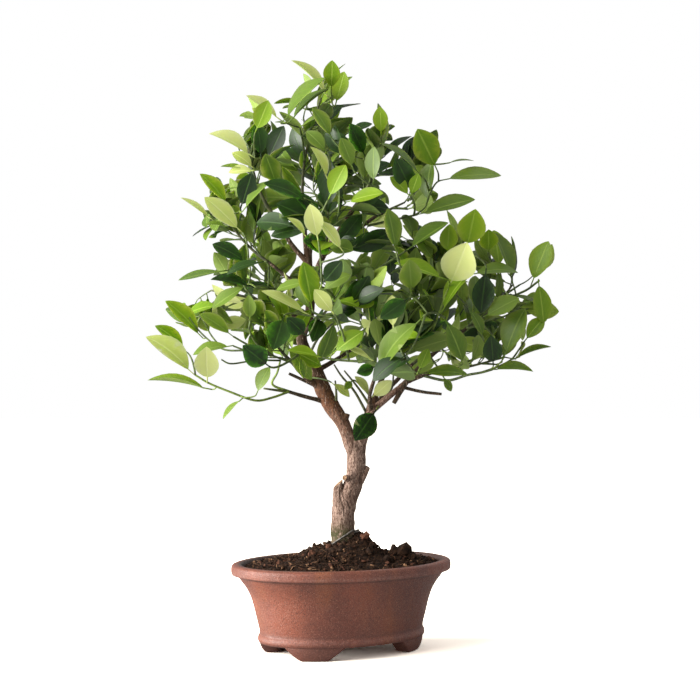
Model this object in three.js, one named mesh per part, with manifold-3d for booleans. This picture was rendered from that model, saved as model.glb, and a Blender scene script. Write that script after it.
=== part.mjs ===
// Calamondin bonsai in an oval pot on four feet.
// Millimetres, +Z up. Sizes are measured from the point of the standing plane under the pot's middle,
// and the tree as a whole is then moved, so that the origin lies under the middle of its box.
// The viewer stands on the -Y side, so +X is to the right and +Y is the back of the tree.
import * as THREE from "three";
import { mergeVertices } from "three/addons/utils/BufferGeometryUtils.js";
import Module from "manifold-3d";

const wasm = await Module();
wasm.setup();

// The pot's middle in the frame of the whole tree
const POT_PLACE = [-14, -8, 0];
// Space left between neighbours that touch on the real tree
const SEAT_GAP = 0.3;
const UP = new THREE.Vector3(0, 0, 1);
// An axis with more of its length than this along Z counts as upright
const STEEP = 0.98;

// Pot: an oval whose long axis is turned so that its right end points away from the viewer
const POT_TURN = THREE.MathUtils.degToRad(34);
const POT_BASE_LONG = 88;
const POT_BASE_SHORT = 60;
const POT_UNDERSIDE = 13;
const POT_FLOOR_TOP = 20;
const POT_RIM_TOP = 90;
const POT_SIDES = 24;
// How far the outer face stands outside the base oval at each height, from the foot band to the rim
const POT_FLARE = [
  [0.5, POT_UNDERSIDE],
  [2.7, 17],
  [1.3, 24],
  [7.5, 50.5],
  [11, 60.5],
  [15.5, 68],
  [23, 79],
  [29.3, 83],
  [28.6, 88],
  [25.5, POT_RIM_TOP],
];
const POT_MOUTH = [
  [18.5, POT_RIM_TOP],
  [17, 82],
  [1, 50],
  [-8, POT_FLOOR_TOP],
];
const DRAIN_RADIUS = 7;
const DRAIN_OFFSET = 38;
const DRAIN_SIDES = 8;
const FOOT_RADIAL = 16;
const FOOT_SPAN_TOP = 59;
const FOOT_SPAN_BOTTOM = 23;
const FOOT_STANDS_OUT = 1.5;
const FOOT_STEPS = 6;
// How far a foot's block runs up into the pot, and how its underside curves up to its ends
const FOOT_SUNK = 1.5;
const FOOT_ARCH = 0.7;

// Soil: a mound of bark mix, highest just to the right of the trunk
const SOIL_EDGE_HEIGHT = 86;
const SOIL_DOME = 10;
const SOIL_RINGS = 4;
const SOIL_SIDES = 12;
const SOIL_WALL_GAP = 0.6;
// Heaps on the mound: X, Y, height above the dome, radius
const SOIL_HEAPS = [
  [0, 0, 14, 30],
  [21, -2, 13, 15],
  [-31, -8, 4, 12],
  [55, 0, 6, 14],
];
// Lumps of bark that stand out of the mound: X, Y, length, turn in degrees
const SOIL_LUMPS = [
  [-63, -20, 11, 20],
  [-30, -24, 13, 70],
  [27, -21, 14, -30],
  [60, -2, 18, 10],
  [44, -28, 10, 40],
  [-6, 30, 12, -20],
];
// A lump's width, height and rise above the mound as shares of its length
const LUMP_WIDTH = 0.7;
const LUMP_HEIGHT = 0.55;
const LUMP_RISE = 0.08;

// Trunk: X, Y, Z and diameter from the flat cut at the ground to the fork
const GROUND = 108;
const TRUNK = [
  [0.6, 0, GROUND, 25.4],
  [0.8, 0, 114, 23],
  [0.7, 0, 128, 22.3],
  [1.4, 0, 142, 23.7],
  [4.2, 0, 156, 25.4],
  [10.2, 0, 170, 20.4],
  [14, 0, 184, 18.4],
  [14.2, 0, 196, 19.6],
  [12.6, 0, 207, 23.4],
];
// The old leader, sawn off beside the trunk's bend: X, Y, Z and diameter
const OLD_LEADER = [
  [0, 0, 146, 18],
  [-1.5, -0.5, 158, 14],
  [-3, -1, 170, 10.5],
];
const OLD_LEADER_STEPS = 2;
const TRUNK_SIDES = 12;
const TRUNK_STEPS = 12;
const LIMB_SIDES = 6;
const LIMB_STEPS = 3;
const LIMB_STEP_LENGTH = 24;

// Boughs: the points that each one runs through, from the limb it leaves, and its thickness at each
const BOUGHS = {
  leader: {
    path: [
      [9, 0, 204],
      [1, 1, 226],
      [-13, 3, 248],
      [-29, 7, 283],
      [-41, 9, 312],
      [-33, 10, 337],
      [-35, 12, 394],
    ],
    thick: [14, 14.4, 16.4, 15.6, 10.6, 9.4, 8],
  },
  right_bough: {
    path: [[17, 0, 205], [24, -2, 226], [31, -5, 248]],
    thick: [13, 11.6, 8.6],
  },
  low_left: { path: [[-18, 3, 249], [-37, -5, 254], [-53, -12, 259]], thick: [5, 4, 3.4] },
  left_lower: { path: [[-22, 4, 262], [-36, -6, 273], [-48, -20, 287]], thick: [6.6, 5.4, 4.2] },
  left: { path: [[-37, 9, 327], [-50, 0, 336], [-64, -8, 344]], thick: [5, 4.2, 3.4] },
  upper_left: { path: [[-32, 10, 357], [-52, 18, 371], [-74, 24, 389]], thick: [5, 4.2, 3.4] },
  top_left: { path: [[-35, 12, 389], [-49, 8, 404], [-68, -4, 434]], thick: [6, 5, 4.2] },
  top: { path: [[-35, 12, 389], [-38, 18, 420], [-40, 20, 448]], thick: [6, 5, 3.8] },
  top_right: { path: [[-32, 10, 363], [-20, -4, 392], [11, -18, 440]], thick: [7.4, 6, 4.6] },
  upper_right: { path: [[-11, -8, 408], [10, -2, 418], [34, 6, 435]], thick: [5, 4.4, 3.6] },
  back_left: { path: [[-40, 9, 311], [-50, 35, 327], [-62, 62, 342]], thick: [5.6, 4.6, 3.6] },
  back_top: { path: [[-32, 11, 376], [-33, 40, 401], [-28, 68, 427]], thick: [5.6, 4.6, 3.6] },
  back_right: { path: [[-27, 7, 279], [-11, 30, 288], [8, 58, 300]], thick: [5.6, 4.6, 3.6] },
  front_up: { path: [[-31, 10, 368], [-24, -18, 381], [-18, -46, 396]], thick: [5, 4.2, 3.4] },
  front_mid: { path: [[-38, 9, 318], [-31, -18, 325], [-22, -46, 333]], thick: [5, 4.2, 3.4] },
  low_bough: { path: [[27, -4, 238], [47, -12, 255], [68, -18, 272]], thick: [7.4, 6.4, 5] },
  low_right: { path: [[66, -17, 270], [84, -22, 277], [101, -25, 281]], thick: [4.6, 4.2, 3.6] },
  right_far: { path: [[58, -15, 264], [90, -8, 296], [124, 0, 322]], thick: [5, 4.2, 3.6] },
  right_mid: { path: [[30, -5, 246], [40, 2, 272], [62, 2, 312]], thick: [6.4, 5.4, 4.2] },
  right_front: { path: [[29, -4, 240], [27, -26, 254], [32, -52, 275]], thick: [5, 4.2, 3.4] },
  back_far_right: { path: [[29, -4, 240], [48, 26, 262], [72, 50, 286]], thick: [5.6, 4.6, 3.6] },
};
// Pruned stubs that carry no leaves
const STUBS = {
  pruned_twig_right: { path: [[58, -15, 264], [80, -20, 259], [98, -24, 257]], thick: [3.6, 3.2, 3] },
  pruned_twig_left: { path: [[-22, 4, 262], [-38, -4, 270], [-53, -8, 277]], thick: [3.6, 3.2, 3] },
};

// Masses of leaves, one on each bough that bears its name. Each keeps to a ball round its heart,
// and where two balls meet, to its own side of the plane between them. "tips" are the shoot ends
// that the crown's outline shows, the other shoots are spread by the rule.
const MASSES = {
  low_left: {
    heart: [-126, -26, 271],
    reach: 84,
    tips: [[-148, -33, 279], [-104, -30, 250]],
    shoots: 2,
    seed: 95,
  },
  left_lower: {
    heart: [-70, -45, 316],
    reach: 68,
    tips: [[-98, -42, 309]],
    shoots: 4,
    seed: 3003,
  },
  left: {
    heart: [-126, -8, 358],
    reach: 72,
    tips: [[-146, 3, 326], [-125, -14, 382]],
    shoots: 3,
    seed: 2238,
  },
  upper_left: {
    heart: [-116, 26, 437],
    reach: 70,
    tips: [[-135, 28, 440], [-114, 18, 455]],
    shoots: 3,
    seed: 1423,
  },
  top_left: {
    heart: [-90, -8, 505],
    reach: 70,
    tips: [[-80, -6, 528], [-96, -14, 504]],
    shoots: 3,
    seed: 1334,
  },
  top: {
    heart: [-24, 14, 538],
    reach: 72,
    tips: [[-15, 10, 558], [-42, 22, 545]],
    shoots: 4,
    seed: 3548,
  },
  top_right: {
    heart: [36, -24, 488],
    reach: 72,
    tips: [[34, -16, 512], [22, -24, 500]],
    shoots: 3,
    seed: 2196,
  },
  upper_right: {
    heart: [100, 8, 466],
    reach: 76,
    tips: [[82, 4, 489], [104, 10, 474], [84, 0, 438]],
    shoots: 3,
    seed: 3775,
  },
  right_mid: {
    heart: [88, -10, 388],
    reach: 72,
    tips: [[106, -10, 378]],
    shoots: 4,
    seed: 2179,
  },
  right_far: {
    heart: [168, 4, 366],
    reach: 76,
    tips: [[184, 0, 370], [182, 6, 340], [158, 8, 382]],
    shoots: 3,
    seed: 338,
  },
  low_right: {
    heart: [146, -28, 291],
    reach: 76,
    tips: [[155, -32, 286], [176, -24, 300]],
    shoots: 4,
    seed: 1302,
  },
  right_front: {
    heart: [50, -76, 302],
    reach: 72,
    tips: [[72, -64, 300]],
    shoots: 4,
    seed: 2991,
  },
  front_mid: {
    heart: [-8, -80, 350],
    reach: 72,
    tips: [],
    shoots: 5,
    seed: 625,
  },
  front_up: {
    heart: [-14, -74, 428],
    reach: 74,
    tips: [],
    shoots: 5,
    seed: 763,
  },
  back_left: {
    heart: [-80, 88, 366],
    reach: 78,
    tips: [],
    shoots: 5,
    seed: 3880,
  },
  back_top: {
    heart: [-20, 88, 468],
    reach: 80,
    tips: [],
    shoots: 5,
    seed: 374,
  },
  back_right: {
    heart: [30, 92, 344],
    reach: 78,
    tips: [],
    shoots: 5,
    seed: 2747,
  },
  back_far_right: {
    heart: [108, 80, 320],
    reach: 74,
    tips: [],
    shoots: 4,
    seed: 3760,
  },
};

// How far shoots and leaves keep off the limits of their space, off the limbs and off the twigs.
// The limbs are taken as beads along their axes.
const SPACE_CLEARANCE = 0.4;
const LIMB_CLEARANCE = 1.2;
const TWIG_CLEARANCE = 2.6;
const BEAD_SPACING = 3;

// Stems and shoots. The stem runs past the heart by a fifth of its way there, a shoot leaves it
// before the point beside its own tip, and the spread shoots reach out by a share of the space.
// SAG and SPACING work on lengths, VARIES is the spread of a random length about its middle.
const GOLDEN_ANGLE = Math.PI * (3 - Math.sqrt(5));
const STEM_PAST_HEART = 1.2;
const STEM_THICKER = 1.4;
const STEM_STEPS = 3;
const STEM_BARE = 0.55;
const SHOOT_SPREAD = 0.45;
const SHOOT_LEAD = 0.3;
const SHOOT_FIRST = 0.1;
const SHOOT_LAST = 0.9;
const SHOOT_SAG = 0.08;
const SHOOT_BARE = 0.2;
const SHOOT_CHECKED_AT = [0.3, 0.6, 1];
const TWIG_RADIUS = 1.3;
const TWIG_TAPER = 0.85;
const TWIG_SIDES = 3;
const TWIG_STEPS = 2;
const LENGTH_VARIES = 0.4;

// Leaves: their places along a twig from its tip, their angle to it, and their shape as shares of
// their length. A leaf that finds no room is tried again further round, wider open and shorter.
const LEAF_TIP_INSET = 1.5;
const LEAF_SPACING = 8;
const LEAF_SPACING_GROWS = 1.2;
const LEAF_OPENING_TIP = THREE.MathUtils.degToRad(16);
const LEAF_OPENING_STEP = THREE.MathUtils.degToRad(14);
const LEAF_OPENING_MOST = THREE.MathUtils.degToRad(62);
const LEAF_OPENING_VARIES = 0.3;
const LEAF_TRIES = 6;
const TRY_TURNS = 2;
const TRY_OPENS = 0.15;
const TRY_SHORTENS = 0.06;
const LEAF_LENGTH = 47;
const LEAF_WIDTH = 0.55;
const LEAF_WIDEST_AT = 0.56;
const LEAF_FOLD = 0.16;
const LEAF_ROOT_HALF = 0.5;
const BLADE_FROM = 0.1;
const BLADE_MIDDLE = 0.6;
const PROBED_AT = [0.35, 0.7];
// How strongly a leaf's upper face turns to the sky and out from the crown's axis
const SKY_PULL = 0.7;
const OUTWARD_PULL = 0.42;

// Steel wire round the front of the trunk's foot: its turns about the trunk and its heights,
// evenly spaced along it
const WIRE_RADIUS = 0.8;
const WIRE_SIDES = 5;
const WIRE_STANDOFF = 0.4;
const WIRE_POINTS = 14;
const WIRE_FROM_TURN = THREE.MathUtils.degToRad(190);
const WIRE_TO_TURN = THREE.MathUtils.degToRad(400);
const WIRE_HEIGHTS = [103, 109, 115.5, 121.4, 118, 111];

// Vertices nearer than this are one, and shares nearer than SMALL are equal
const WELD = 1e-4;
const SMALL = 1e-9;

const finishes = {
  pot: new THREE.MeshStandardMaterial({ color: 0x84503f, roughness: 0.62, metalness: 0 }),
  soil: new THREE.MeshStandardMaterial({ color: 0x3a2720, roughness: 0.95, metalness: 0 }),
  bark: new THREE.MeshStandardMaterial({ color: 0xa08a78, roughness: 0.88, metalness: 0 }),
  leaf: new THREE.MeshStandardMaterial({ color: 0x4c7a2a, roughness: 0.45, metalness: 0 }),
  wire: new THREE.MeshStandardMaterial({ color: 0x8d8f90, roughness: 0.4, metalness: 0.9 }),
};

const vector = (point) => new THREE.Vector3(...point);

// A closed geometry as a solid that can be joined and cut
function solidOf(geometry) {
  const bare = geometry.clone();
  bare.deleteAttribute("normal");
  bare.deleteAttribute("uv");
  const merged = mergeVertices(bare, WELD);
  return new wasm.Manifold(
    new wasm.Mesh({
      numProp: 3,
      vertProperties: new Float32Array(merged.attributes.position.array),
      triVerts: new Uint32Array(merged.index.array),
    }),
  );
}

// The largest piece of a solid, so that loose scraps and sealed hollows are dropped
function largestPiece(solid) {
  return solid.decompose().reduce((best, piece) => (piece.volume() > best.volume() ? piece : best));
}

function geometryOf(solid) {
  const mesh = solid.getMesh();
  const geometry = new THREE.BufferGeometry();
  geometry.setAttribute("position", new THREE.BufferAttribute(mesh.vertProperties, 3));
  geometry.setIndex(new THREE.BufferAttribute(mesh.triVerts, 1));
  geometry.computeVertexNormals();
  return geometry;
}

function named(name, geometry, finish) {
  const mesh = new THREE.Mesh(geometry, finish);
  mesh.name = name;
  return mesh;
}

// A straight cylinder bent to run through points: each ring is centred on one of them, square to
// the run there, turned as little as can be from the ring before, and has its own radius
function taperedTube(points, radiusAt, sides) {
  const steps = points.length - 1;
  const geometry = new THREE.CylinderGeometry(1, 1, 1, sides, steps);
  const rings = [];
  let normal = squareTo(points[1].clone().sub(points[0]).normalize(), 0);
  points.forEach((point, k) => {
    const before = points[Math.max(k - 1, 0)];
    const after = points[Math.min(k + 1, steps)];
    const tangent = after.clone().sub(before).normalize();
    normal = normal.clone().addScaledVector(tangent, -normal.dot(tangent)).normalize();
    rings.push({ point, normal, binormal: tangent.cross(normal) });
  });
  const position = geometry.attributes.position;
  for (let i = 0; i < position.count; i += 1) {
    const along = position.getY(i) + 0.5;
    const ring = rings[Math.round(along * steps)];
    const radius = radiusAt(along);
    const place = ring.point.clone();
    place.addScaledVector(ring.normal, radius * position.getX(i));
    place.addScaledVector(ring.binormal, -radius * position.getZ(i));
    position.setXYZ(i, place.x, place.y, place.z);
  }
  return geometry;
}

// A value that runs through a list of stations, evenly spaced from 0 to 1
function between(stations, along) {
  const place = along * (stations.length - 1);
  const first = Math.min(Math.floor(place), stations.length - 2);
  return THREE.MathUtils.lerp(stations[first], stations[first + 1], place - first);
}

// A limb's axis and its radius at each share of its length
function limbOf(path, thick) {
  const curve = new THREE.CatmullRomCurve3(path.map(vector), false, "centripetal");
  const shares = path.map((_, i) => lengthShare(curve, i / (path.length - 1)));
  const radiusAt = (along) => {
    const next = Math.max(1, shares.findIndex((share) => share >= along - SMALL));
    const part = (along - shares[next - 1]) / (shares[next] - shares[next - 1]);
    return THREE.MathUtils.lerp(thick[next - 1], thick[next], part) / 2;
  };
  return { curve, radiusAt };
}

// The share of a curve's length that lies before one of its parameters
function lengthShare(curve, parameter) {
  const lengths = curve.getLengths();
  const total = lengths[lengths.length - 1];
  return between(lengths, parameter) / total;
}

function stepsOf(limb) {
  return Math.max(LIMB_STEPS, Math.round(limb.curve.getLength() / LIMB_STEP_LENGTH));
}

function limbSolid(limb, sides, steps) {
  return solidOf(taperedTube(limb.curve.getSpacedPoints(steps), limb.radiusAt, sides));
}

// The same limb made larger all round by the seat gap, to cut its neighbours clear of it
function clearanceOf(limb, sides, steps) {
  const points = limb.curve.getSpacedPoints(steps);
  points[0].addScaledVector(limb.curve.getTangentAt(0), -SEAT_GAP);
  points[steps].addScaledVector(limb.curve.getTangentAt(1), SEAT_GAP);
  const thicker = (along) => limb.radiusAt(along) + SEAT_GAP / Math.cos(Math.PI / sides);
  return solidOf(taperedTube(points, thicker, sides));
}

// A tapering limb is cut clear of the limb that it leaves
function boughSolid(limb, clearances) {
  const whole = limbSolid(limb, LIMB_SIDES, stepsOf(limb));
  return largestPiece(wasm.Manifold.difference([whole, ...clearances]));
}

// A repeatable sequence of numbers between 0 and 1
function drawsFrom(seed) {
  let state = seed;
  const next = () => {
    state = (state * 16807) % 2147483647;
    return state / 2147483647;
  };
  next();
  next();
  return next;
}

// A curve that leaves a point in a given direction, sags a little and rises to its end
function shootCurve(from, leaving, to) {
  const length = from.distanceTo(to);
  const middle = from.clone().addScaledVector(leaving, 0.5 * length);
  middle.addScaledVector(UP, -SHOOT_SAG * length);
  return new THREE.QuadraticBezierCurve3(from, middle, to);
}

// A unit vector square to an axis, turned about it from the level
function squareTo(axis, turn) {
  const reference = Math.abs(axis.z) > STEEP ? new THREE.Vector3(1, 0, 0) : UP;
  const level = axis.clone().cross(reference).normalize();
  const other = level.clone().cross(axis);
  return level.multiplyScalar(Math.cos(turn)).addScaledVector(other, Math.sin(turn));
}

// How far a point lies inside its mass's own space, less than 0 outside
function roomAt(point, mass, masses) {
  const own = point.distanceToSquared(mass.heart) - mass.reach ** 2;
  let room = mass.reach - point.distanceTo(mass.heart);
  for (const other of masses) {
    if (other !== mass) {
      const theirs = point.distanceToSquared(other.heart) - other.reach ** 2;
      room = Math.min(room, (theirs - own) / (2 * other.heart.distanceTo(mass.heart)));
    }
  }
  return room;
}

// True where a point keeps to its mass's space and clear of every limb
function isFree(point, mass, masses) {
  if (roomAt(point, mass, masses) < SPACE_CLEARANCE) {
    return false;
  }
  return mass.beads.every(([bead, radius]) => point.distanceTo(bead) > radius + LIMB_CLEARANCE);
}

// A point on the straight runs between points, evenly spaced from 0 to 1
function onRuns(points, along) {
  const place = along * (points.length - 1);
  const first = Math.min(Math.floor(place), points.length - 2);
  return points[first].clone().lerp(points[first + 1], place - first);
}

// A leaf's frame: where it leaves its twig, its length's direction and its upper face's direction
function leafFrame({ curve, steps }, along, turn, opening) {
  const root = onRuns(curve.getPoints(steps), along);
  const axis = curve.getTangent(along);
  const side = squareTo(axis, turn);
  const direction = axis.clone().multiplyScalar(Math.cos(opening));
  direction.addScaledVector(side, Math.sin(opening));
  const face = axis.multiplyScalar(Math.sin(opening)).addScaledVector(side, -Math.cos(opening));
  const outward = new THREE.Vector3(root.x, root.y, 0).normalize();
  face.addScaledVector(UP, SKY_PULL).addScaledVector(outward, OUTWARD_PULL);
  face.addScaledVector(direction, -face.dot(direction)).normalize();
  return { root, direction, face };
}

// The five corners of a leaf: its root's upper and lower edge, its two widest points and its tip
function leafCorners({ root, direction, face, length }) {
  const side = face.clone().cross(direction);
  const place = (along, across, height) =>
    root.clone()
      .addScaledVector(direction, along * length)
      .addScaledVector(side, across)
      .addScaledVector(face, height);
  const half = 0.5 * LEAF_WIDTH * length;
  const lift = 2 * LEAF_FOLD * half;
  return [
    place(0, 0, LEAF_ROOT_HALF),
    place(0, 0, -LEAF_ROOT_HALF),
    place(LEAF_WIDEST_AT, half, lift),
    place(LEAF_WIDEST_AT, -half, lift),
    place(1, 0, 0),
  ];
}

// Points along a leaf's midrib and edges, by which it is kept in its space
function leafProbes(leaf) {
  const [, , left, right, tip] = leafCorners(leaf);
  const probes = [left, right, tip, leaf.root.clone().lerp(tip, 0.5)];
  for (const part of PROBED_AT) {
    for (const end of [left, right, tip]) {
      probes.push(leaf.root.clone().lerp(end, part));
    }
    for (const end of [left, right]) {
      probes.push(end.clone().lerp(tip, part));
    }
  }
  return probes;
}

// The two faces of a leaf's blade beyond its stalk, and the edges between them
function bladeOf(leaf) {
  const [, , left, right, tip] = leafCorners(leaf);
  const neck = leaf.root.clone().lerp(tip, BLADE_FROM);
  return {
    middle: leaf.root.clone().lerp(tip, BLADE_MIDDLE),
    faces: [[neck, left, tip], [neck, tip, right]],
    edges: [[neck, left], [left, tip], [tip, right], [right, neck], [neck, tip]],
  };
}

function pierces([from, to], [a, b, c]) {
  const ray = new THREE.Ray(from, to.clone().sub(from).normalize());
  const hit = ray.intersectTriangle(a, b, c, false, new THREE.Vector3());
  return hit !== null && hit.distanceTo(from) < to.distanceTo(from);
}

function distanceToRun(point, [from, to]) {
  const nearest = new THREE.Line3(from, to).closestPointToPoint(point, true, new THREE.Vector3());
  return nearest.distanceTo(point);
}

// True where two blades pass through each other
function bladesCross(one, other) {
  if (one.middle.distanceTo(other.middle) > LEAF_LENGTH) {
    return false;
  }
  const through = (edges, faces) => edges.some((edge) => faces.some((face) => pierces(edge, face)));
  return through(one.edges, other.faces) || through(other.edges, one.faces);
}

function leafSolid(leaf) {
  const geometry = new THREE.BufferGeometry();
  const corners = leafCorners(leaf).flatMap((corner) => corner.toArray());
  geometry.setAttribute("position", new THREE.Float32BufferAttribute(corners, 3));
  geometry.setIndex([0, 4, 2, 0, 3, 4, 1, 2, 4, 1, 4, 3, 0, 2, 1, 0, 1, 3]);
  return solidOf(geometry);
}

// A length that varies at random about 1
function varied(draw) {
  return 1 + LENGTH_VARIES * (draw() - 0.5);
}

// The stem of a mass, and the shoots that leave it for the mass's tips, where they find room
function growTwigs(mass, free, draw) {
  const stemTip = mass.start.clone().lerp(mass.heart, STEM_PAST_HEART);
  const stem = shootCurve(mass.start, mass.leaving, stemTip);
  const thick = STEM_THICKER * mass.stemRadius;
  const twigs = [{ curve: stem, thick, bare: STEM_BARE, steps: STEM_STEPS }];
  const turned = draw() * 2 * Math.PI;
  const spread = Array.from({ length: mass.shoots }, (_, k) => {
    const height = 1 - (2 * (k + 0.5)) / mass.shoots;
    const level = Math.sqrt(1 - height * height);
    const turn = turned + k * GOLDEN_ANGLE;
    const direction = new THREE.Vector3(level * Math.cos(turn), level * Math.sin(turn), height);
    return mass.heart.clone().addScaledVector(direction, mass.reach * SHOOT_SPREAD * varied(draw));
  });
  const run = stemTip.clone().sub(mass.start);
  for (const tip of [...mass.tips, ...spread]) {
    const beside = tip.clone().sub(mass.start).dot(run) / run.lengthSq();
    const along = THREE.MathUtils.clamp(beside - SHOOT_LEAD, SHOOT_FIRST, SHOOT_LAST);
    const from = stem.getPoint(along);
    const leaving = stem.getTangent(along).add(tip.clone().sub(from).normalize()).normalize();
    const curve = shootCurve(from, leaving, tip);
    if (SHOOT_CHECKED_AT.every((part) => free(curve.getPoint(part)))) {
      twigs.push({ curve, thick: TWIG_RADIUS, bare: SHOOT_BARE, steps: TWIG_STEPS });
    }
  }
  return twigs;
}

// The leaves along one twig, from its tip down, turned by the golden angle from one to the next.
// fits says whether a leaf keeps its clearances.
function growLeaves(twig, fits, draw) {
  const length = twig.curve.getLength();
  const phase = draw() * 2 * Math.PI;
  const fromTip = (i) => LEAF_TIP_INSET + LEAF_SPACING * i ** LEAF_SPACING_GROWS;
  for (let i = 0; fromTip(i) < length * (1 - twig.bare); i += 1) {
    const along = 1 - fromTip(i) / length;
    const widest = Math.min(LEAF_OPENING_TIP + i * LEAF_OPENING_STEP, LEAF_OPENING_MOST);
    const opening = widest + LEAF_OPENING_VARIES * (draw() - 0.5);
    const size = LEAF_LENGTH * varied(draw);
    for (let attempt = 0; attempt < LEAF_TRIES; attempt += 1) {
      const turn = phase + (i + TRY_TURNS * attempt) * GOLDEN_ANGLE;
      const leaf = leafFrame(twig, along, turn, opening + TRY_OPENS * attempt);
      leaf.length = size * (1 - TRY_SHORTENS * attempt);
      if (fits(leaf)) {
        break;
      }
    }
  }
}

// The rule by which a mass grows: a stem from its bough's tip past its heart, shoots that leave
// the stem for points spread about the heart, and leaves along each of them
function growMass(mass, masses) {
  const draw = drawsFrom(mass.seed);
  const free = (point) => isFree(point, mass, masses);
  const twigs = growTwigs(mass, free, draw);
  const runs = twigs.flatMap(({ curve, steps }) => {
    const points = curve.getPoints(steps);
    return points.slice(1).map((point, k) => [points[k], point]);
  });
  const leaves = [];
  const blades = [];
  const fits = (leaf) => {
    const blade = bladeOf(leaf);
    const probes = leafProbes(leaf);
    const clearOf = (run) =>
      probes.every((probe) => distanceToRun(probe, run) > TWIG_CLEARANCE) &&
      !blade.faces.some((face) => pierces(run, face));
    const crossed = (other) => bladesCross(blade, other);
    const kept = runs.every(clearOf) && probes.every(free) && !blades.some(crossed);
    if (kept) {
      leaves.push(leaf);
      blades.push(blade);
    }
    return kept;
  };
  for (const twig of twigs) {
    growLeaves(twig, fits, draw);
  }
  return { twigs, leaves };
}

function massSolid({ twigs, leaves }, clearances) {
  const parts = twigs.map(({ curve, thick, steps }) => {
    const radiusAt = (along) => THREE.MathUtils.lerp(thick, TWIG_TAPER * thick, along);
    return solidOf(taperedTube(curve.getPoints(steps), radiusAt, TWIG_SIDES));
  });
  parts.push(...leaves.map(leafSolid));
  const joined = wasm.Manifold.union(parts);
  return largestPiece(wasm.Manifold.difference([joined, ...clearances]));
}

// A round turned shape drawn in to an oval whose axes differ by a fixed length outside the base
function drawnToOval(geometry) {
  const position = geometry.attributes.position;
  for (let i = 0; i < position.count; i += 1) {
    const radius = Math.hypot(position.getX(i), position.getY(i));
    const inner = Math.max(radius, POT_BASE_LONG);
    position.setY(i, (position.getY(i) * (inner - POT_BASE_LONG + POT_BASE_SHORT)) / inner);
  }
  return geometry;
}

// A profile of radii and heights turned about the vertical axis
function turnedProfile(profile, sides) {
  const outline = profile.map(([radius, height]) => new THREE.Vector2(radius, height));
  return new THREE.LatheGeometry(outline, sides).rotateX(Math.PI / 2);
}

// One foot: a block bent along the base oval, whose underside rises towards both of its ends
function footSolid(middleTurn) {
  const geometry = new THREE.BoxGeometry(1, 1, 1, FOOT_STEPS, 1, 1);
  const position = geometry.attributes.position;
  const stride = Math.hypot(POT_BASE_LONG * Math.sin(middleTurn), POT_BASE_SHORT * Math.cos(middleTurn));
  const flat = FOOT_SPAN_BOTTOM / FOOT_SPAN_TOP;
  for (let i = 0; i < position.count; i += 1) {
    const along = 2 * position.getX(i);
    const turn = middleTurn + (0.5 * FOOT_SPAN_TOP * along) / stride;
    const rise = Math.max(0, (Math.abs(along) - flat) / (1 - flat));
    const inset = position.getY(i) > 0 ? -FOOT_RADIAL : FOOT_STANDS_OUT;
    const top = POT_UNDERSIDE + FOOT_SUNK;
    position.setXYZ(
      i,
      (POT_BASE_LONG + inset) * Math.cos(turn),
      (POT_BASE_SHORT + inset) * Math.sin(turn),
      position.getZ(i) > 0 ? top : POT_UNDERSIDE * rise ** FOOT_ARCH,
    );
  }
  return solidOf(geometry);
}

function potSolid() {
  const outside = POT_FLARE.map(([flare, height]) => [POT_BASE_LONG + flare, height]);
  const inside = POT_MOUTH.map(([flare, height]) => [POT_BASE_LONG + flare, height]);
  const profile = [[0, POT_UNDERSIDE], ...outside, ...inside, [0, POT_FLOOR_TOP]];
  const body = solidOf(drawnToOval(turnedProfile(profile, POT_SIDES)));
  const corner = Math.PI / 4;
  const feet = [corner, 3 * corner, 5 * corner, 7 * corner].map(footSolid);
  const holes = [-DRAIN_OFFSET, DRAIN_OFFSET].map((offset) => {
    const drill = new THREE.CylinderGeometry(DRAIN_RADIUS, DRAIN_RADIUS, 4 * POT_UNDERSIDE, DRAIN_SIDES);
    return solidOf(drill.rotateX(Math.PI / 2).translate(offset, 0, POT_UNDERSIDE));
  });
  return largestPiece(wasm.Manifold.difference([wasm.Manifold.union([body, ...feet]), ...holes]));
}

// The soil's height: a low dome from the pot's edge, with heaps on it
function soilHeight(x, y, share) {
  const dome = SOIL_EDGE_HEIGHT + SOIL_DOME * (1 - share * share);
  return SOIL_HEAPS.reduce(
    (height, [heapX, heapY, rise, radius]) =>
      height + rise * Math.exp(-((x - heapX) ** 2 + (y - heapY) ** 2) / radius ** 2) * (1 - share ** 4),
    dome,
  );
}

// The mound: its walls keep off the pot's inner face, and its top's rings are lifted to the height
function soilSolid(clearances) {
  const wall = POT_MOUTH.slice(1).reverse();
  const side = wall.map(([flare, height]) => [POT_BASE_LONG + flare - SOIL_WALL_GAP, height + SEAT_GAP]);
  const [edge] = side[side.length - 1];
  side.push([edge, SOIL_EDGE_HEIGHT]);
  const ringAt = (_, k) => [edge * (1 - (k + 1) / SOIL_RINGS), SOIL_EDGE_HEIGHT];
  const rings = Array.from({ length: SOIL_RINGS }, ringAt);
  const profile = [[0, side[0][1]], ...side, ...rings];
  const geometry = drawnToOval(turnedProfile(profile, SOIL_SIDES)).rotateZ(POT_TURN);
  const position = geometry.attributes.position;
  for (let i = 0; i < position.count; i += 1) {
    const ring = i % profile.length;
    if (ring > side.length) {
      position.setZ(i, soilHeight(position.getX(i), position.getY(i), profile[ring][0] / edge));
    }
  }
  const lumps = SOIL_LUMPS.map(([x, y, length, turn]) => {
    const lump = new THREE.IcosahedronGeometry(0.5, 0);
    lump.scale(length, LUMP_WIDTH * length, LUMP_HEIGHT * length);
    lump.rotateZ(THREE.MathUtils.degToRad(turn));
    const height = soilHeight(x, y, Math.hypot(x, y) / edge) + LUMP_RISE * length;
    return solidOf(lump.translate(x, y, height));
  });
  const mound = wasm.Manifold.union([solidOf(geometry), ...lumps]);
  return largestPiece(wasm.Manifold.difference([mound, ...clearances]));
}

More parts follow.
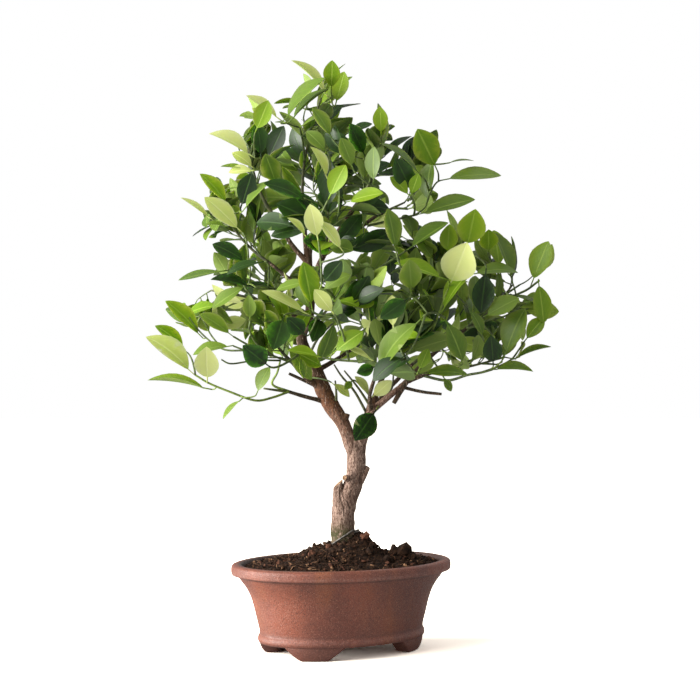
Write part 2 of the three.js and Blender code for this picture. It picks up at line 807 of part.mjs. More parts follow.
// The wire: up across the front of the trunk's foot, round its right side and down into the soil
function wirePoints(trunk) {
  const [[footX, footY], top] = [TRUNK[0], TRUNK[TRUNK.length - 1]];
  return Array.from({ length: WIRE_POINTS }, (_, k) => {
    const part = k / (WIRE_POINTS - 1);
    const turn = THREE.MathUtils.lerp(WIRE_FROM_TURN, WIRE_TO_TURN, part);
    const height = between(WIRE_HEIGHTS, part);
    const along = Math.max(0, (height - GROUND) / (top[2] - GROUND));
    const radius = trunk.radiusAt(along) + WIRE_STANDOFF + WIRE_RADIUS;
    return new THREE.Vector3(footX + radius * Math.cos(turn), footY + radius * Math.sin(turn), height);
  });
}

// A limb from a list of stations, each with its place and diameter
function limbThrough(stations) {
  return limbOf(
    stations.map(([x, y, z]) => [x, y, z]),
    stations.map(([, , , thick]) => thick),
  );
}

const limbs = { trunk: limbThrough(TRUNK) };
for (const [name, { path, thick }] of Object.entries({ ...BOUGHS, ...STUBS })) {
  limbs[name] = limbOf(path, thick);
}
// Points along every limb's axis, each with the limb's radius there
const beads = Object.values(limbs).flatMap(({ curve, radiusAt }) => {
  const count = Math.ceil(curve.getLength() / BEAD_SPACING);
  const beadAt = (_, k) => [curve.getPointAt(k / count), radiusAt(k / count)];
  return Array.from({ length: count + 1 }, beadAt);
});

const tree = new THREE.Group();
tree.position.set(...POT_PLACE);

const pot = named("pot", geometryOf(potSolid()), finishes.pot);
pot.rotation.z = POT_TURN;
tree.add(pot);

const trunkClearance = clearanceOf(limbs.trunk, TRUNK_SIDES, TRUNK_STEPS);
const wire = wirePoints(limbs.trunk);
const wireTube = (radius) => solidOf(taperedTube(wire, () => radius, WIRE_SIDES));
const mound = soilSolid([trunkClearance, wireTube(WIRE_RADIUS + SEAT_GAP)]);
tree.add(named("soil", geometryOf(mound), finishes.soil));
tree.add(named("tie_wire", geometryOf(wireTube(WIRE_RADIUS)), finishes.wire));

const trunkSolid = wasm.Manifold.union([
  limbSolid(limbs.trunk, TRUNK_SIDES, TRUNK_STEPS),
  limbSolid(limbThrough(OLD_LEADER), LIMB_SIDES, OLD_LEADER_STEPS),
]);
tree.add(named("trunk", geometryOf(trunkSolid), finishes.bark));

// Every limb is cut clear of those that were made before it
const made = [trunkClearance];
for (const name of Object.keys({ ...BOUGHS, ...STUBS })) {
  const title = name in MASSES ? `${name}_bough` : name;
  tree.add(named(title, geometryOf(boughSolid(limbs[name], made)), finishes.bark));
  made.push(clearanceOf(limbs[name], LIMB_SIDES, stepsOf(limbs[name])));
}

const masses = Object.entries(MASSES).map(([name, { heart, reach, tips, shoots, seed }]) => ({
  name,
  heart: vector(heart),
  reach,
  tips: tips.map(vector),
  shoots,
  seed,
  start: limbs[name].curve.getPointAt(1),
  leaving: limbs[name].curve.getTangentAt(1),
  stemRadius: limbs[name].radiusAt(1),
  beads: beads.filter(([bead]) => bead.distanceTo(vector(heart)) < reach),
}));
for (const mass of masses) {
  const solid = massSolid(growMass(mass, masses), made);
  tree.add(named(`${mass.name}_leaves`, geometryOf(solid), finishes.leaf));
}

export default tree;
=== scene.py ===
# Calamondin bonsai in an oval pot: the looks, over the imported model.
# Lengths are in millimetres from the point of the standing plane under the pot's middle, as in the
# source of the solids, and become metres in the frame when a mesh is made.
import math
import bpy
import numpy as np
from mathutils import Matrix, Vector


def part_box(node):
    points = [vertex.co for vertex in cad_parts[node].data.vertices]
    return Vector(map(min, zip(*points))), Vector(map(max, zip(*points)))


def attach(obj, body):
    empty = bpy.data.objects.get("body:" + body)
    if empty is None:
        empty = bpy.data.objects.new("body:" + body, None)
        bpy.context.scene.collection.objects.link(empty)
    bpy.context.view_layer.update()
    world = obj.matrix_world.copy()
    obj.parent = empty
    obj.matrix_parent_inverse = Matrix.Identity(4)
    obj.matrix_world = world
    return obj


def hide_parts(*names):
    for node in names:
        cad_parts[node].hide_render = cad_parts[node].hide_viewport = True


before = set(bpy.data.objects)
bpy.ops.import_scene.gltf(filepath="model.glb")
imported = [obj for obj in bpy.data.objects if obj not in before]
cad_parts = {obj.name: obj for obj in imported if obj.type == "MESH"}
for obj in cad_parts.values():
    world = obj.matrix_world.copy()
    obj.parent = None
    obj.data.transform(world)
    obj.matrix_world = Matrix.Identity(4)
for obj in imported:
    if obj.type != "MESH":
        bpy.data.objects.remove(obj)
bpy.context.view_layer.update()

# The view: level, from the front and 1.8 m away, at half the tree's height, so that a pixel of the
# square picture is a millimetre at the trunk.
MM = 0.001
POT_MIDDLE = (np.array(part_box("pot")[0]) + np.array(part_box("pot")[1])) / 2 / MM * [1, 1, 0]
VIEW_DISTANCE = 1800
VIEW_SIDE = 7.7
VIEW_HEIGHT = 300.5
PICTURE_PIXELS = 700

camera = bpy.data.cameras.new("camera")
camera.sensor_width = 36
camera.lens = camera.sensor_width * VIEW_DISTANCE / PICTURE_PIXELS
camera_object = bpy.data.objects.new("camera", camera)
camera_object.location = (POT_MIDDLE + [VIEW_SIDE, -VIEW_DISTANCE, VIEW_HEIGHT]) * MM
camera_object.rotation_euler = (math.pi / 2, 0, 0)
bpy.context.collection.objects.link(camera_object)
bpy.context.scene.camera = camera_object


# The pot: an oval body thrown and pressed in reddish brown stoneware, fired without a glaze, with a
# moulded band above its four cloud feet and a rounded rim. Its long axis is turned, so that the
# right end points away from the viewer.
POT_TURN = math.radians(34)
POT_LONG = 88
POT_SHORT = 60
# How far the outer face stands outside the base oval, and its height, from the band to the rim
POT_OUTSIDE = [
    [-3.0, 12.8], [0.0, 13.0], [1.6, 13.6], [2.7, 15.4], [2.9, 17.5], [2.4, 19.6], [1.3, 21.4],
    [1.1, 24.0], [2.6, 31.0], [4.6, 39.0], [7.5, 50.5], [11.0, 60.5], [15.2, 68.0], [19.6, 74.0],
    [22.4, 78.2], [23.4, 79.6], [25.8, 79.5], [28.6, 80.2], [29.3, 82.0], [29.3, 86.8], [28.4, 88.8],
    [26.0, 89.9], [22.4, 90.1], [19.8, 89.6], [18.4, 87.8], [17.6, 84.0], [15.0, 76.0], [8.0, 62.0],
    [1.0, 46.0], [-6.0, 26.0], [-9.0, 20.0],
]
POT_AROUND = 288
POT_UP = 150
# How far the inner face stands outside the base oval at the soil, and the heights of the underside and
# of the floor inside
POT_INSIDE = 17.6
POT_UNDERSIDE = 12.8
POT_FLOOR = 20
# A foot: its length, its flat part, its depth, how far its section's middle lies behind its face, its
# top, how far its underside rises at its ends, how thin it gets there and how soft its section is
FOOT_SPAN = 59
FOOT_FLAT = 25
FOOT_RADIAL = 16
FOOT_OUTER = 3
FOOT_TOP = 14.5
FOOT_ARCH = 13
FOOT_THINNEST = 0.4
FOOT_SOFT = 0.4
# Painted shade of the gap by the soil darkens the pot from this far outside the base oval inwards, and more
# so over this distance
INNER_SHADE_FROM = 25
INNER_SHADE_OVER = 5
# How uneven the wall is: depths, sizes and seeds of the noise
POT_UNEVEN = [(0.5, 30, 3), (0.16, 6, 4)]
# Heights of the painted highlights, pale along the rim's outer edge and along the band's ridge, and of the
# painted shade in the crease under the lip and in the groove above the band, each with how far it reaches up
# and down and how strong it is
PAINTED_HIGHLIGHTS = [(82, 1.8, 0.18), (18.6, 1.8, 0.14)]
SHADE_RINGS = [(78.8, 1.1, 0.6), (23, 1.6, 0.3)]
# The pot is darker below this height, fully so this much lower, and this dark: painted shade under the
# band's ridge and on the feet
DARK_BELOW = 17
DARK_OVER = 4
DARKEST = 0.36


def through(points):
    """Centripetal Catmull-Rom curve through points, a function of t from 0 to 1. Between p1 and p2 it
    is the cubic whose slopes there come from the neighbours' distances to the power of a half."""
    points = np.asarray(points, float)
    ends = np.vstack([2 * points[0] - points[1], points, 2 * points[-1] - points[-2]])

    def at(t):
        place = np.asarray(t, float) * (len(points) - 1)
        first = np.minimum(place.astype(int), len(points) - 2)
        part = (place - first)[..., None]
        p0, p1, p2, p3 = (ends[first + k] for k in range(4))
        pairs = ((p0, p1), (p1, p2), (p2, p3))
        d0, d1, d2 = (np.linalg.norm(b - a, axis=-1, keepdims=True) ** 0.5 for a, b in pairs)
        leaving = ((p1 - p0) / d0 - (p2 - p0) / (d0 + d1)) * d1 + (p2 - p1)
        nearing = (p2 - p1) - ((p3 - p1) / (d1 + d2) - (p3 - p2) / d2) * d1
        square = 3 * (p2 - p1) - 2 * leaving - nearing
        cube = 2 * (p1 - p2) + leaving + nearing
        return p1 + leaving * part + square * part**2 + cube * part**3

    return at


def grain(points, size, seed):
    """Value noise from 0 to 1: a number hashed from each corner of a grid of cubes of the given size,
    blended between the corners by 3f^2 - 2f^3 along each axis."""
    cell = np.asarray(points, float) / size
    base = np.floor(cell).astype(np.int64)
    part = cell - base
    part = part * part * (3 - 2 * part)
    total = np.zeros(cell.shape[:-1])
    for corner in np.ndindex(2, 2, 2):
        x, y, z = np.moveaxis(base + corner, -1, 0)
        mixed = x * 73856093 ^ y * 19349663 ^ z * 83492791 ^ seed * 2654435
        mixed = (mixed ^ (mixed >> 13)) * 1274126177
        value = ((mixed ^ (mixed >> 16)) & 0xFFFF) / 0xFFFF
        total += value * np.prod(np.where(corner, part, 1 - part), axis=-1)
    return total


def wrapped_quads(rows, columns):
    """Four-cornered faces of a grid of rows by columns points, whose columns close on themselves."""
    row, column = np.mgrid[0 : rows - 1, 0:columns]
    following = (column + 1) % columns
    corners = [row * columns + column, row * columns + following]
    return np.stack([*corners, corners[1] + columns, corners[0] + columns], axis=-1).reshape(-1, 4)


def end_faces(first, count):
    """Four-cornered faces that close a ring of an even count of points, from its near side across."""
    k = np.arange(count // 2 - 1)
    return first + np.stack([k, k + 1, (count - 2 - k) % count, (count - 1 - k) % count], axis=-1)


def capped_quads(rows, columns):
    """The faces of such a grid and those that close its first and last rings."""
    ends = end_faces(0, columns)[:, ::-1], end_faces((rows - 1) * columns, columns)
    return np.vstack([wrapped_quads(rows, columns), *ends])


def unevenness(points, layers):
    """The sum of depth (grain - 1/2) over layers of a depth, a size and a seed."""
    return sum(depth * (grain(points, size, seed) - 0.5) for depth, size, seed in layers)


def hump(values, middle, width):
    """exp(-((value - middle) / width)^2), which is 1 at the middle."""
    return np.exp(-(((values - middle) / width) ** 2))


def humps(values, rows):
    """The sum of such humps, each by its middle, its width and how high it is."""
    return sum(high * hump(values, middle, width) for middle, width, high in rows)


def volume_of(points, faces):
    """Sum over the faces, cut into triangles, of a . (b x c) / 6: below 0 when they face inwards."""
    a, b, c, d = (points[faces[:, k]] for k in range(4))
    return (np.sum(a * np.cross(b, c)) + np.sum(a * np.cross(c, d))) / 6


def facing_out(points, faces):
    """The faces, all of them turned over if they face inwards."""
    return faces[:, ::-1] if volume_of(points, faces) < 0 else faces


def joined(meshes):
    """The points and faces of several meshes as one."""
    starts = np.cumsum([0] + [len(points) for points, _ in meshes[:-1]])
    faces = [faces + start for (_, faces), start in zip(meshes, starts)]
    return np.vstack([points for points, _ in meshes]), np.vstack(faces)


def make_piece(name, points, faces, finishes, stands_for, slot):
    """A smooth mesh from points (n, 3) in millimetres and faces (m, 4), turned to face outwards."""
    faces = facing_out(points, faces)
    mesh = bpy.data.meshes.new(name)
    mesh.from_pydata(((points + POT_MIDDLE) * MM).tolist(), [], faces.tolist())
    mesh.polygons.foreach_set("use_smooth", np.ones(len(mesh.polygons), bool))
    for finish in finishes:
        mesh.materials.append(finish)
    piece = bpy.data.objects.new(name, mesh)
    bpy.context.collection.objects.link(piece)
    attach(piece, "root")
    if stands_for:
        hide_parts(*stands_for)
    return piece


def give_values(piece, name, values):
    """One number for each point of the mesh, which its material reads by name."""
    attribute = piece.data.attributes.new(name, "FLOAT", "POINT")
    attribute.data.foreach_set("value", np.asarray(values, np.float32).ravel())


def in_plan(points, turn):
    """Points turned about the vertical axis."""
    x = points[..., 0] * math.cos(turn) - points[..., 1] * math.sin(turn)
    y = points[..., 0] * math.sin(turn) + points[..., 1] * math.cos(turn)
    return np.stack([x, y, points[..., 2]], axis=-1)


def oval_wall(profile, turns):
    """Point (s, t): ((long + e) cos t, (short + e) sin t, z), where (e, z) is the profile at s."""
    out = profile[:, None, 0]
    x = (POT_LONG + out) * np.cos(turns)
    y = (POT_SHORT + out) * np.sin(turns)
    return np.stack([x, y, np.broadcast_to(profile[:, None, 1], x.shape)], axis=-1)


def paint(red, green, blue):
    """A colour as seen, 0 to 255, in the linear values that a shader takes."""
    seen = np.array([red, green, blue]) / 255
    return (*np.where(seen < 0.04045, seen / 12.92, ((seen + 0.055) / 1.055) ** 2.4), 1)


def feed(tree, node, inputs):
    """Values and links for a node's inputs, each under the input's name or number."""
    for name, value in inputs.items():
        if isinstance(value, bpy.types.NodeSocket):
            tree.links.new(value, node.inputs[name])
        else:
            node.inputs[name].default_value = value


def add_node(tree, kind, inputs=None, **settings):
    """A node of a shader tree, its settings given by name and its inputs by value or by link."""
    node = tree.nodes.new(kind)
    for name, value in settings.items():
        setattr(node, name, value)
    feed(tree, node, inputs or {})
    return node


def blend_colours(tree, share, first, second):
    """A mix, by a share from 0 to 1, of two colours, each of them a link or as seen, 0 to 255."""
    first, second = (paint(*colour) if isinstance(colour, tuple) else colour for colour in (first, second))
    return add_node(tree, "ShaderNodeMix", {0: share, 6: first, 7: second}, data_type="RGBA").outputs[2]


def mottle_group():
    """A node group: a mask from 0 to 1 made of noise on Object coordinates, stretched along one axis
    and hardened between two levels."""
    group = bpy.data.node_groups.new("mottle", "ShaderNodeTree")
    for name, value in (("Scale", 100.0), ("Detail", 3.0), ("From", 0.4), ("To", 0.6)):
        socket = group.interface.new_socket(name, in_out="INPUT", socket_type="NodeSocketFloat")
        socket.default_value = value
    stretch = group.interface.new_socket("Stretch", in_out="INPUT", socket_type="NodeSocketVector")
    stretch.default_value = (1, 1, 1)
    group.interface.new_socket("Mask", in_out="OUTPUT", socket_type="NodeSocketFloat")
    given = group.nodes.new("NodeGroupInput").outputs
    place = add_node(group, "ShaderNodeTexCoord").outputs["Object"]
    stretched = add_node(group, "ShaderNodeMapping", {"Vector": place, "Scale": given["Stretch"]})
    drawn = {"Vector": stretched.outputs["Vector"], "Scale": given["Scale"], "Detail": given["Detail"]}
    noise = add_node(group, "ShaderNodeTexNoise", drawn).outputs["Fac"]
    levels = {"Value": noise, "From Min": given["From"], "From Max": given["To"]}
    mask = add_node(group, "ShaderNodeMapRange", levels, interpolation_type="SMOOTHSTEP").outputs["Result"]
    group.links.new(mask, group.nodes.new("NodeGroupOutput").inputs["Mask"])
    return group


mottle = mottle_group()


def mottled(tree, scale, low, high, detail=3.0, stretch=(1, 1, 1)):
    """The mottle's mask, placed in a material with its own values."""
    values = {"Scale": scale, "Detail": detail, "From": low, "To": high, "Stretch": stretch}
    return add_node(tree, "ShaderNodeGroup", values, node_tree=mottle).outputs["Mask"]


def new_finish(name):
    """A material with nothing in it but its output and a Principled shader."""
    finish = bpy.data.materials.new(name)
    finish.use_nodes = True
    return finish, finish.node_tree, finish.node_tree.nodes["Principled BSDF"]


def relief(tree, shader, height, depth):
    """Bumps of a depth in millimetres on a shader's surface."""
    bump = add_node(tree, "ShaderNodeBump", {"Height": height, "Distance": depth * MM, "Strength": 1.0})
    tree.links.new(bump.outputs["Normal"], shader.inputs["Normal"])


def carried(tree, name):
    """The number that the mesh's points carry under a name."""
    return add_node(tree, "ShaderNodeAttribute", attribute_name=name).outputs["Fac"]


def ranged(tree, value, low, high, first=0.0, last=1.0):
    """A value that runs from low to high, as one that runs from first to last."""
    limits = {"Value": value, "From Min": low, "From Max": high, "To Min": first, "To Max": last}
    return add_node(tree, "ShaderNodeMapRange", limits).outputs["Result"]


def reckoned(tree, operation, *values):
    """The result of an operation on one to three values."""
    return add_node(tree, "ShaderNodeMath", dict(enumerate(values)), operation=operation).outputs[0]


def layered(tree, colour, layers):
    """A colour with others over it, each where its own mottle lets it show."""
    for scale, low, high, detail, stretch, over in layers:
        colour = blend_colours(tree, mottled(tree, scale, low, high, detail, stretch), colour, over)
    return colour


def stoneware():
    """Brown clay with greyer and ashen patches and fine specks, darker where the points carry painted shade
    as inside, and paler where they carry painted highlights."""
    finish, tree, shader = new_finish("stoneware")
    clay = blend_colours(tree, mottled(tree, 22, 0.35, 0.7), (112, 62, 49), (140, 77, 57))
    clay = layered(tree, clay, [
        (13, 0.5, 0.75, 2, (1, 1, 0.5), (96, 62, 56)),
        (24, 0.5, 0.95, 2, (1.8, 0.7, 0.5), (150, 86, 52)),
        (1000, 0.5, 0.74, 3, (1, 1, 1), (164, 112, 92)),
        (1100, 0.52, 0.7, 3, (1, 1, 1), (76, 42, 34)),
    ])
    # Painted shade carried as inside: in the gap by the soil, under the lip and round the band
    clay = blend_colours(tree, carried(tree, "inside"), clay, (74, 48, 40))
    # Painted highlights along the rim's outer edge and the band's ridge, broken up by a fine mottle
    highlight_mask = reckoned(tree, "MULTIPLY", carried(tree, "painted_highlight"), mottled(tree, 420, 0.3, 0.7, 4))
    clay = blend_colours(tree, highlight_mask, clay, (188, 156, 147))
    dull = ranged(tree, mottled(tree, 500, 0.3, 0.7), 0, 1, 0.36, 0.6)
    feed(tree, shader, {"Base Color": clay, "Roughness": dull})
    relief(tree, shader, mottled(tree, 900, 0.3, 0.7, 3), 0.2)
    return finish


turns = np.linspace(0, 2 * math.pi, POT_AROUND, endpoint=False)
pot_profile = through(POT_OUTSIDE)(np.linspace(0, 1, POT_UP))
pot_wall = oval_wall(pot_profile, turns)
# The underside and the floor inside each run in to a small oval at the middle
inner_steps = np.array([0.02, 0.35, 0.7, 0.93])[:, None, None]
underside = pot_wall[0] * inner_steps * [1, 1, 0] + [0, 0, POT_UNDERSIDE]
pot_floor = pot_wall[-1] * inner_steps[::-1] * [1, 1, 0] + [0, 0, POT_FLOOR]
pot_points = np.concatenate([underside, pot_wall, pot_floor]).reshape(-1, 3)
pot_rows = len(underside) + POT_UP + len(pot_floor)
pot_uneven = unevenness(pot_points, POT_UNEVEN)
pot_points = pot_points + pot_points * [1, 1, 0] / POT_LONG * pot_uneven[:, None]


def foot_block(middle):
    """Point (a, b): along the base oval by a, and round a section with soft lower corners. The
    underside is flat in the middle and rises to both ends as rise^1.3, as a cloud foot does."""
    along = np.linspace(-1, 1, 65)[:, None]
    stride = math.hypot(POT_LONG * math.sin(middle), POT_SHORT * math.cos(middle))
    turn = middle + 0.5 * FOOT_SPAN * along / stride
    flat = FOOT_FLAT / FOOT_SPAN
    rise = np.clip((np.abs(along) - flat) / (1 - flat), 0, 1)
    under = FOOT_ARCH * rise**1.3
    around = np.linspace(0, 2 * math.pi, 28, endpoint=False)
    out, up = (np.sign(wave) * np.abs(wave) ** FOOT_SOFT for wave in (np.cos(around), np.sin(around)))
    height = np.maximum(FOOT_TOP - under, FOOT_THINNEST)
    z = FOOT_TOP - height * (1 - up) / 2
    belly = 1.3 - 3.4 * ((FOOT_TOP - z) / FOOT_TOP) ** 1.6
    inner = belly - FOOT_OUTER - (FOOT_RADIAL - FOOT_OUTER) * (-out)
    offset = np.where(out > 0, belly - (1 - out) * FOOT_OUTER, inner)
    x = (POT_LONG + offset) * np.cos(turn)
    y = (POT_SHORT + offset) * np.sin(turn)
    return np.stack([x, y, z], axis=-1)


pot_meshes = [(pot_points, capped_quads(pot_rows, POT_AROUND))]
for quarter in range(4):
    block = foot_block(math.pi / 4 + quarter * math.pi / 2)
    pot_meshes.append((block.reshape(-1, 3), capped_quads(*block.shape[:2])))
pot_all, pot_faces = joined([(points, facing_out(points, faces)) for points, faces in pot_meshes])
pot_all = in_plan(pot_all, POT_TURN)
pot = make_piece("pot_stoneware", pot_all, pot_faces, [stoneware()], ["pot"], "stoneware")
# Painted highlights: pale along the rim's outer edge and along the band above the feet
pot_heights = pot_all[:, 2]
give_values(pot, "painted_highlight", humps(pot_heights, PAINTED_HIGHLIGHTS))
# Painted shade of the gap by the soil, from the rim's inner half down the inside
painted_inner_shade = np.zeros(len(pot_all))
wall_in = INNER_SHADE_FROM - np.append(pot_profile[:, 0], np.zeros(len(pot_floor)))
wall_in = np.clip(wall_in / INNER_SHADE_OVER, 0, 1)
wall_in[: np.argmax(pot_profile[:, 1])] = 0
painted_inner_shade[len(underside) * POT_AROUND : pot_rows * POT_AROUND] = np.repeat(wall_in, POT_AROUND)
# Painted shade too: in the crease under the lip, in the groove above the band and from the band down
painted_shade_rings = humps(pot_heights, SHADE_RINGS) + DARKEST * np.clip((DARK_BELOW - pot_heights) / DARK_OVER, 0, 1)
give_values(pot, "inside", np.maximum(painted_inner_shade, painted_shade_rings))


# The bark mix: dark brown crumbs, shreds and fibres heaped round the trunk, higher to its right, with
# a few reddish and pale lumps of bark. It stands a little below the rim, with a dark gap inside it.
SOIL_EDGE = 86
SOIL_DOME = 10
SOIL_HEAPS = [[0, 0, 14, 30], [21, -2, 13, 15], [-31, -8, 4, 12], [55, 0, 6, 14]]
SOIL_WALL_GAP = 1.2
SOIL_AROUND = 240
SOIL_RINGS = 90
SKIRT_FOOT = 70
# Kinds of bark, each between two colours, and their shares among the crumbs and the shreds
SOIL_KINDS = {
    "dark": [(31, 20, 14), (62, 41, 27)],
    "red": [(80, 49, 37), (114, 76, 58)],
    "pale": [(116, 84, 62), (158, 120, 90)],
}
CRUMBS = 2600
CRUMB_SHARES = [0.86, 0.1, 0.04]
CRUMB_LEAST = 1.6
CRUMB_LARGER = 5.4
SHREDS = 700
SHRED_SHARES = [0.6, 0.2, 0.2]
SHRED_LENGTHS = (5, 15)
SHRED_LIFT = 1.2
SHRED_FLATTER = 0.35
# How rough the mound is: heights, sizes and seeds of the noise
SOIL_CLODS = [(3.2, 7, 11), (2.4, 3.2, 12), (1.2, 1.5, 13)]
# Lumps of bark on the mound: X, Y, length and the kind of bark
SOIL_LUMPS = [
    [27, -21, 12, 0], [61, -2, 23, 0], [44, -28, 10, 0], [-30, -24, 11, 1], [-63, -20, 11, 0],
    [22.5, -9, 14, 1], [30, -11, 10, 0], [52, -3, 15, 0], [69, -3, 14, 0], [-14, -16, 8, 1],
    [-6, 30, 12, 0],
]


def soil_height(x, y, share):
    """A low dome from the pot's edge, with heaps on it: edge + dome (1 - share^2) + the sum of
    rise exp(-(d / radius)^2), each faded out at the edge."""
    height = SOIL_EDGE + SOIL_DOME * (1 - share**2)
    for heap_x, heap_y, rise, radius in SOIL_HEAPS:
        off = (x - heap_x) ** 2 + (y - heap_y) ** 2
        height = height + rise * np.exp(-off / radius**2) * (1 - share**4)
    return height


def soil_place(share, turn):
    """X and Y on the mound, from the share of the way out to the pot's wall and the turn about Z."""
    out = POT_INSIDE - SOIL_WALL_GAP
    flat = [(POT_LONG + out) * share * np.cos(turn), (POT_SHORT + out) * share * np.sin(turn), 0 * turn]
    placed = in_plan(np.stack(flat, -1), POT_TURN)
    return placed[..., 0], placed[..., 1]


def strewn(shapes, x, y, share, lift):
    """Shapes (count, corners, 3) laid out over the mound, each lifted off it."""
    return shapes + np.stack([x, y, soil_height(x, y, share) + lift], -1)[:, None]


def bark_mix(name, dark, light):
    """Bark between two browns, with dark specks."""
    finish, tree, shader = new_finish(name)
    colour = blend_colours(tree, mottled(tree, 300, 0.35, 0.65), dark, light)
    colour = blend_colours(tree, mottled(tree, 900, 0.6, 0.7, 2), colour, (24, 16, 12))
    feed(tree, shader, {"Base Color": colour, "Roughness": 0.92, "Specular IOR Level": 0.2})
    relief(tree, shader, mottled(tree, 1400, 0.3, 0.7, 2), 0.3)
    return finish


soil_finishes = {kind: bark_mix(f"bark_crumbs_{kind}", *colours) for kind, colours in SOIL_KINDS.items()}
shares = np.linspace(1, 0.004, SOIL_RINGS)[:, None] * np.ones(SOIL_AROUND)
soil_turns = np.linspace(0, 2 * math.pi, SOIL_AROUND, endpoint=False) * np.ones((SOIL_RINGS, 1))
mound_x, mound_y = soil_place(shares, soil_turns)
mound = np.stack([mound_x, mound_y, soil_height(mound_x, mound_y, shares)], axis=-1)
mound[..., 2] += unevenness(mound, SOIL_CLODS) * np.clip((1 - shares) * 12, 0.15, 1)
# A skirt runs down inside the wall and closes under the mound
skirt = np.stack([mound[0] * [inset, inset, 0] + [0, 0, SKIRT_FOOT] for inset in (0.02, 0.97)])
mound = np.concatenate([skirt, mound])
mound_quads = capped_quads(len(mound), SOIL_AROUND)
make_piece("soil_mound", mound.reshape(-1, 3), mound_quads, [soil_finishes["dark"]], ["soil"], "bark_mix")

chance = np.random.default_rng(7)


def turned_at_random(count):
    """Rotation matrices (count, 3, 3), evenly spread over all turns, from random quaternions."""
    q = chance.normal(size=(count, 4))
    w, x, y, z = (q / np.linalg.norm(q, axis=1, keepdims=True)).T
    rows = [
        [1 - 2 * (y * y + z * z), 2 * (x * y - w * z), 2 * (x * z + w * y)],
        [2 * (x * y + w * z), 1 - 2 * (x * x + z * z), 2 * (y * z - w * x)],
        [2 * (x * z - w * y), 2 * (y * z + w * x), 1 - 2 * (x * x + y * y)],
    ]
    return np.moveaxis(np.array(rows), -1, 0)


def crumb_shapes(sizes, stretch):
    """Rough crumbs: a ball of 4 rings by 6 points, each point at a random distance, stretched and
    turned at random. Returns points (count, 24, 3)."""
    ring, column = np.mgrid[0:4, 0:6]
    polar = math.pi * (ring + 0.35) / 3.7
    turn = 2 * math.pi * (column + 0.5 * ring) / 6
    ball = np.stack([np.sin(polar) * np.cos(turn), np.sin(polar) * np.sin(turn), np.cos(polar)], -1)
    ball = ball.reshape(-1, 3)
    rough = ball * chance.uniform(0.65, 1.15, (len(sizes), len(ball), 1))
    rough = rough * stretch * sizes[:, None, None] / 2
    return np.einsum("nij,nkj->nki", turned_at_random(len(sizes)), rough)


def many_like(shapes, faces):
    """Points and faces of many like pieces as one mesh."""
    count, corners = shapes.shape[:2]
    offsets = np.arange(count)[:, None, None] * corners
    return shapes.reshape(-1, 3), (faces + offsets).reshape(-1, 4)


crumb_quads = capped_quads(4, 6)
crumb_shares = np.sqrt(chance.uniform(0, 0.97, CRUMBS))
crumb_x, crumb_y = soil_place(crumb_shares, chance.uniform(0, 2 * math.pi, CRUMBS))
crumb_sizes = CRUMB_LEAST + CRUMB_LARGER * chance.uniform(0, 1, CRUMBS) ** 3
crumb_width = chance.uniform(0.4, 1, (CRUMBS, 1))
crumb_height = chance.uniform(0.3, 0.8, (CRUMBS, 1))
crumb_stretch = np.stack([np.ones((CRUMBS, 1)), crumb_width, crumb_height], -1)
crumbs = crumb_shapes(crumb_sizes, crumb_stretch)
crumbs = strewn(crumbs, crumb_x, crumb_y, crumb_shares, chance.uniform(-0.8, 1.2, CRUMBS))
crumb_kinds = chance.choice(3, CRUMBS, p=CRUMB_SHARES)
lump_x, lump_y, lump_long, lump_kind = np.array(SOIL_LUMPS, float).T
lump_share = np.hypot(lump_x, lump_y) / (POT_LONG + 10)
lumps = crumb_shapes(lump_long, np.ones((len(SOIL_LUMPS), 1, 3)) * [1, 0.8, 0.7])
crumbs = np.concatenate([crumbs, strewn(lumps, lump_x, lump_y, lump_share, 0.12 * lump_long)])
crumb_kinds = np.concatenate([crumb_kinds, lump_kind.astype(int)])


def shred_shapes(lengths):
    """Flat shreds and fibres: five stations along a bent line, each a thin square section."""
    along = np.linspace(-0.5, 0.5, 5)
    bend = chance.uniform(-0.35, 0.35, (len(lengths), 1)) * (along**2 - 0.1)
    middle = np.stack([along + 0 * bend, bend, 0 * bend + 0 * along], -1) * lengths[:, None, None]
    corner = np.array([[0, 1, 0.3], [0, 1, -0.3], [0, -1, -0.3], [0, -1, 0.3]])
    width = chance.uniform(0.2, 0.7, (len(lengths), 1, 1, 1)) * (1 - 1.2 * along**2)[None, :, None, None]
    shape = middle[:, :, None] + corner * width
    return shape.reshape(len(lengths), -1, 3)


shred_lengths = chance.uniform(*SHRED_LENGTHS, SHREDS)
lying = np.einsum("nij,nkj->nki", turned_at_random(SHREDS), shred_shapes(shred_lengths))
lying = lying * [1, 1, SHRED_FLATTER]
shred_shares = np.sqrt(chance.uniform(0, 0.9, SHREDS))
shred_x, shred_y = soil_place(shred_shares, chance.uniform(0, 2 * math.pi, SHREDS))
lying = strewn(lying, shred_x, shred_y, shred_shares, SHRED_LIFT)
shred_kinds = chance.choice(3, SHREDS, p=SHRED_SHARES)
shred_quads = capped_quads(5, 4)
for order, (kind, finish) in enumerate(soil_finishes.items()):
    chips = many_like(crumbs[crumb_kinds == order], crumb_quads)
    make_piece(f"soil_crumbs_{kind}", *chips, [finish], [], "bark_mix").data.shade_flat()
    shreds = many_like(lying[shred_kinds == order], shred_quads)
    make_piece(f"soil_shreds_{kind}", *shreds, [finish], [], "bark_mix")


# The trunk and its boughs: living wood under finely furrowed bark, pale where it is old, orange brown
# on the leader and dark on the younger limbs. Each limb tapers from a collar where it leaves the
# limb below, and the trunk keeps the stub of the old leader and the scars of sawn-off boughs.
TRUNK = [
    [0.6, 0, 104, 26.4], [0.8, 0, 114, 23.6], [0.6, 0, 128, 23.6], [1.4, 0, 142, 23.5],
    [4.6, 0, 152, 20.6], [8.6, 0, 161, 19], [11.6, 0, 170, 19.2], [14, 0, 184, 18.6],
    [13.9, 0, 196, 18.8], [13.4, 0, 207, 21.6], [12.8, 0, 212, 17], [12.8, 0, 215.5, 8],
]
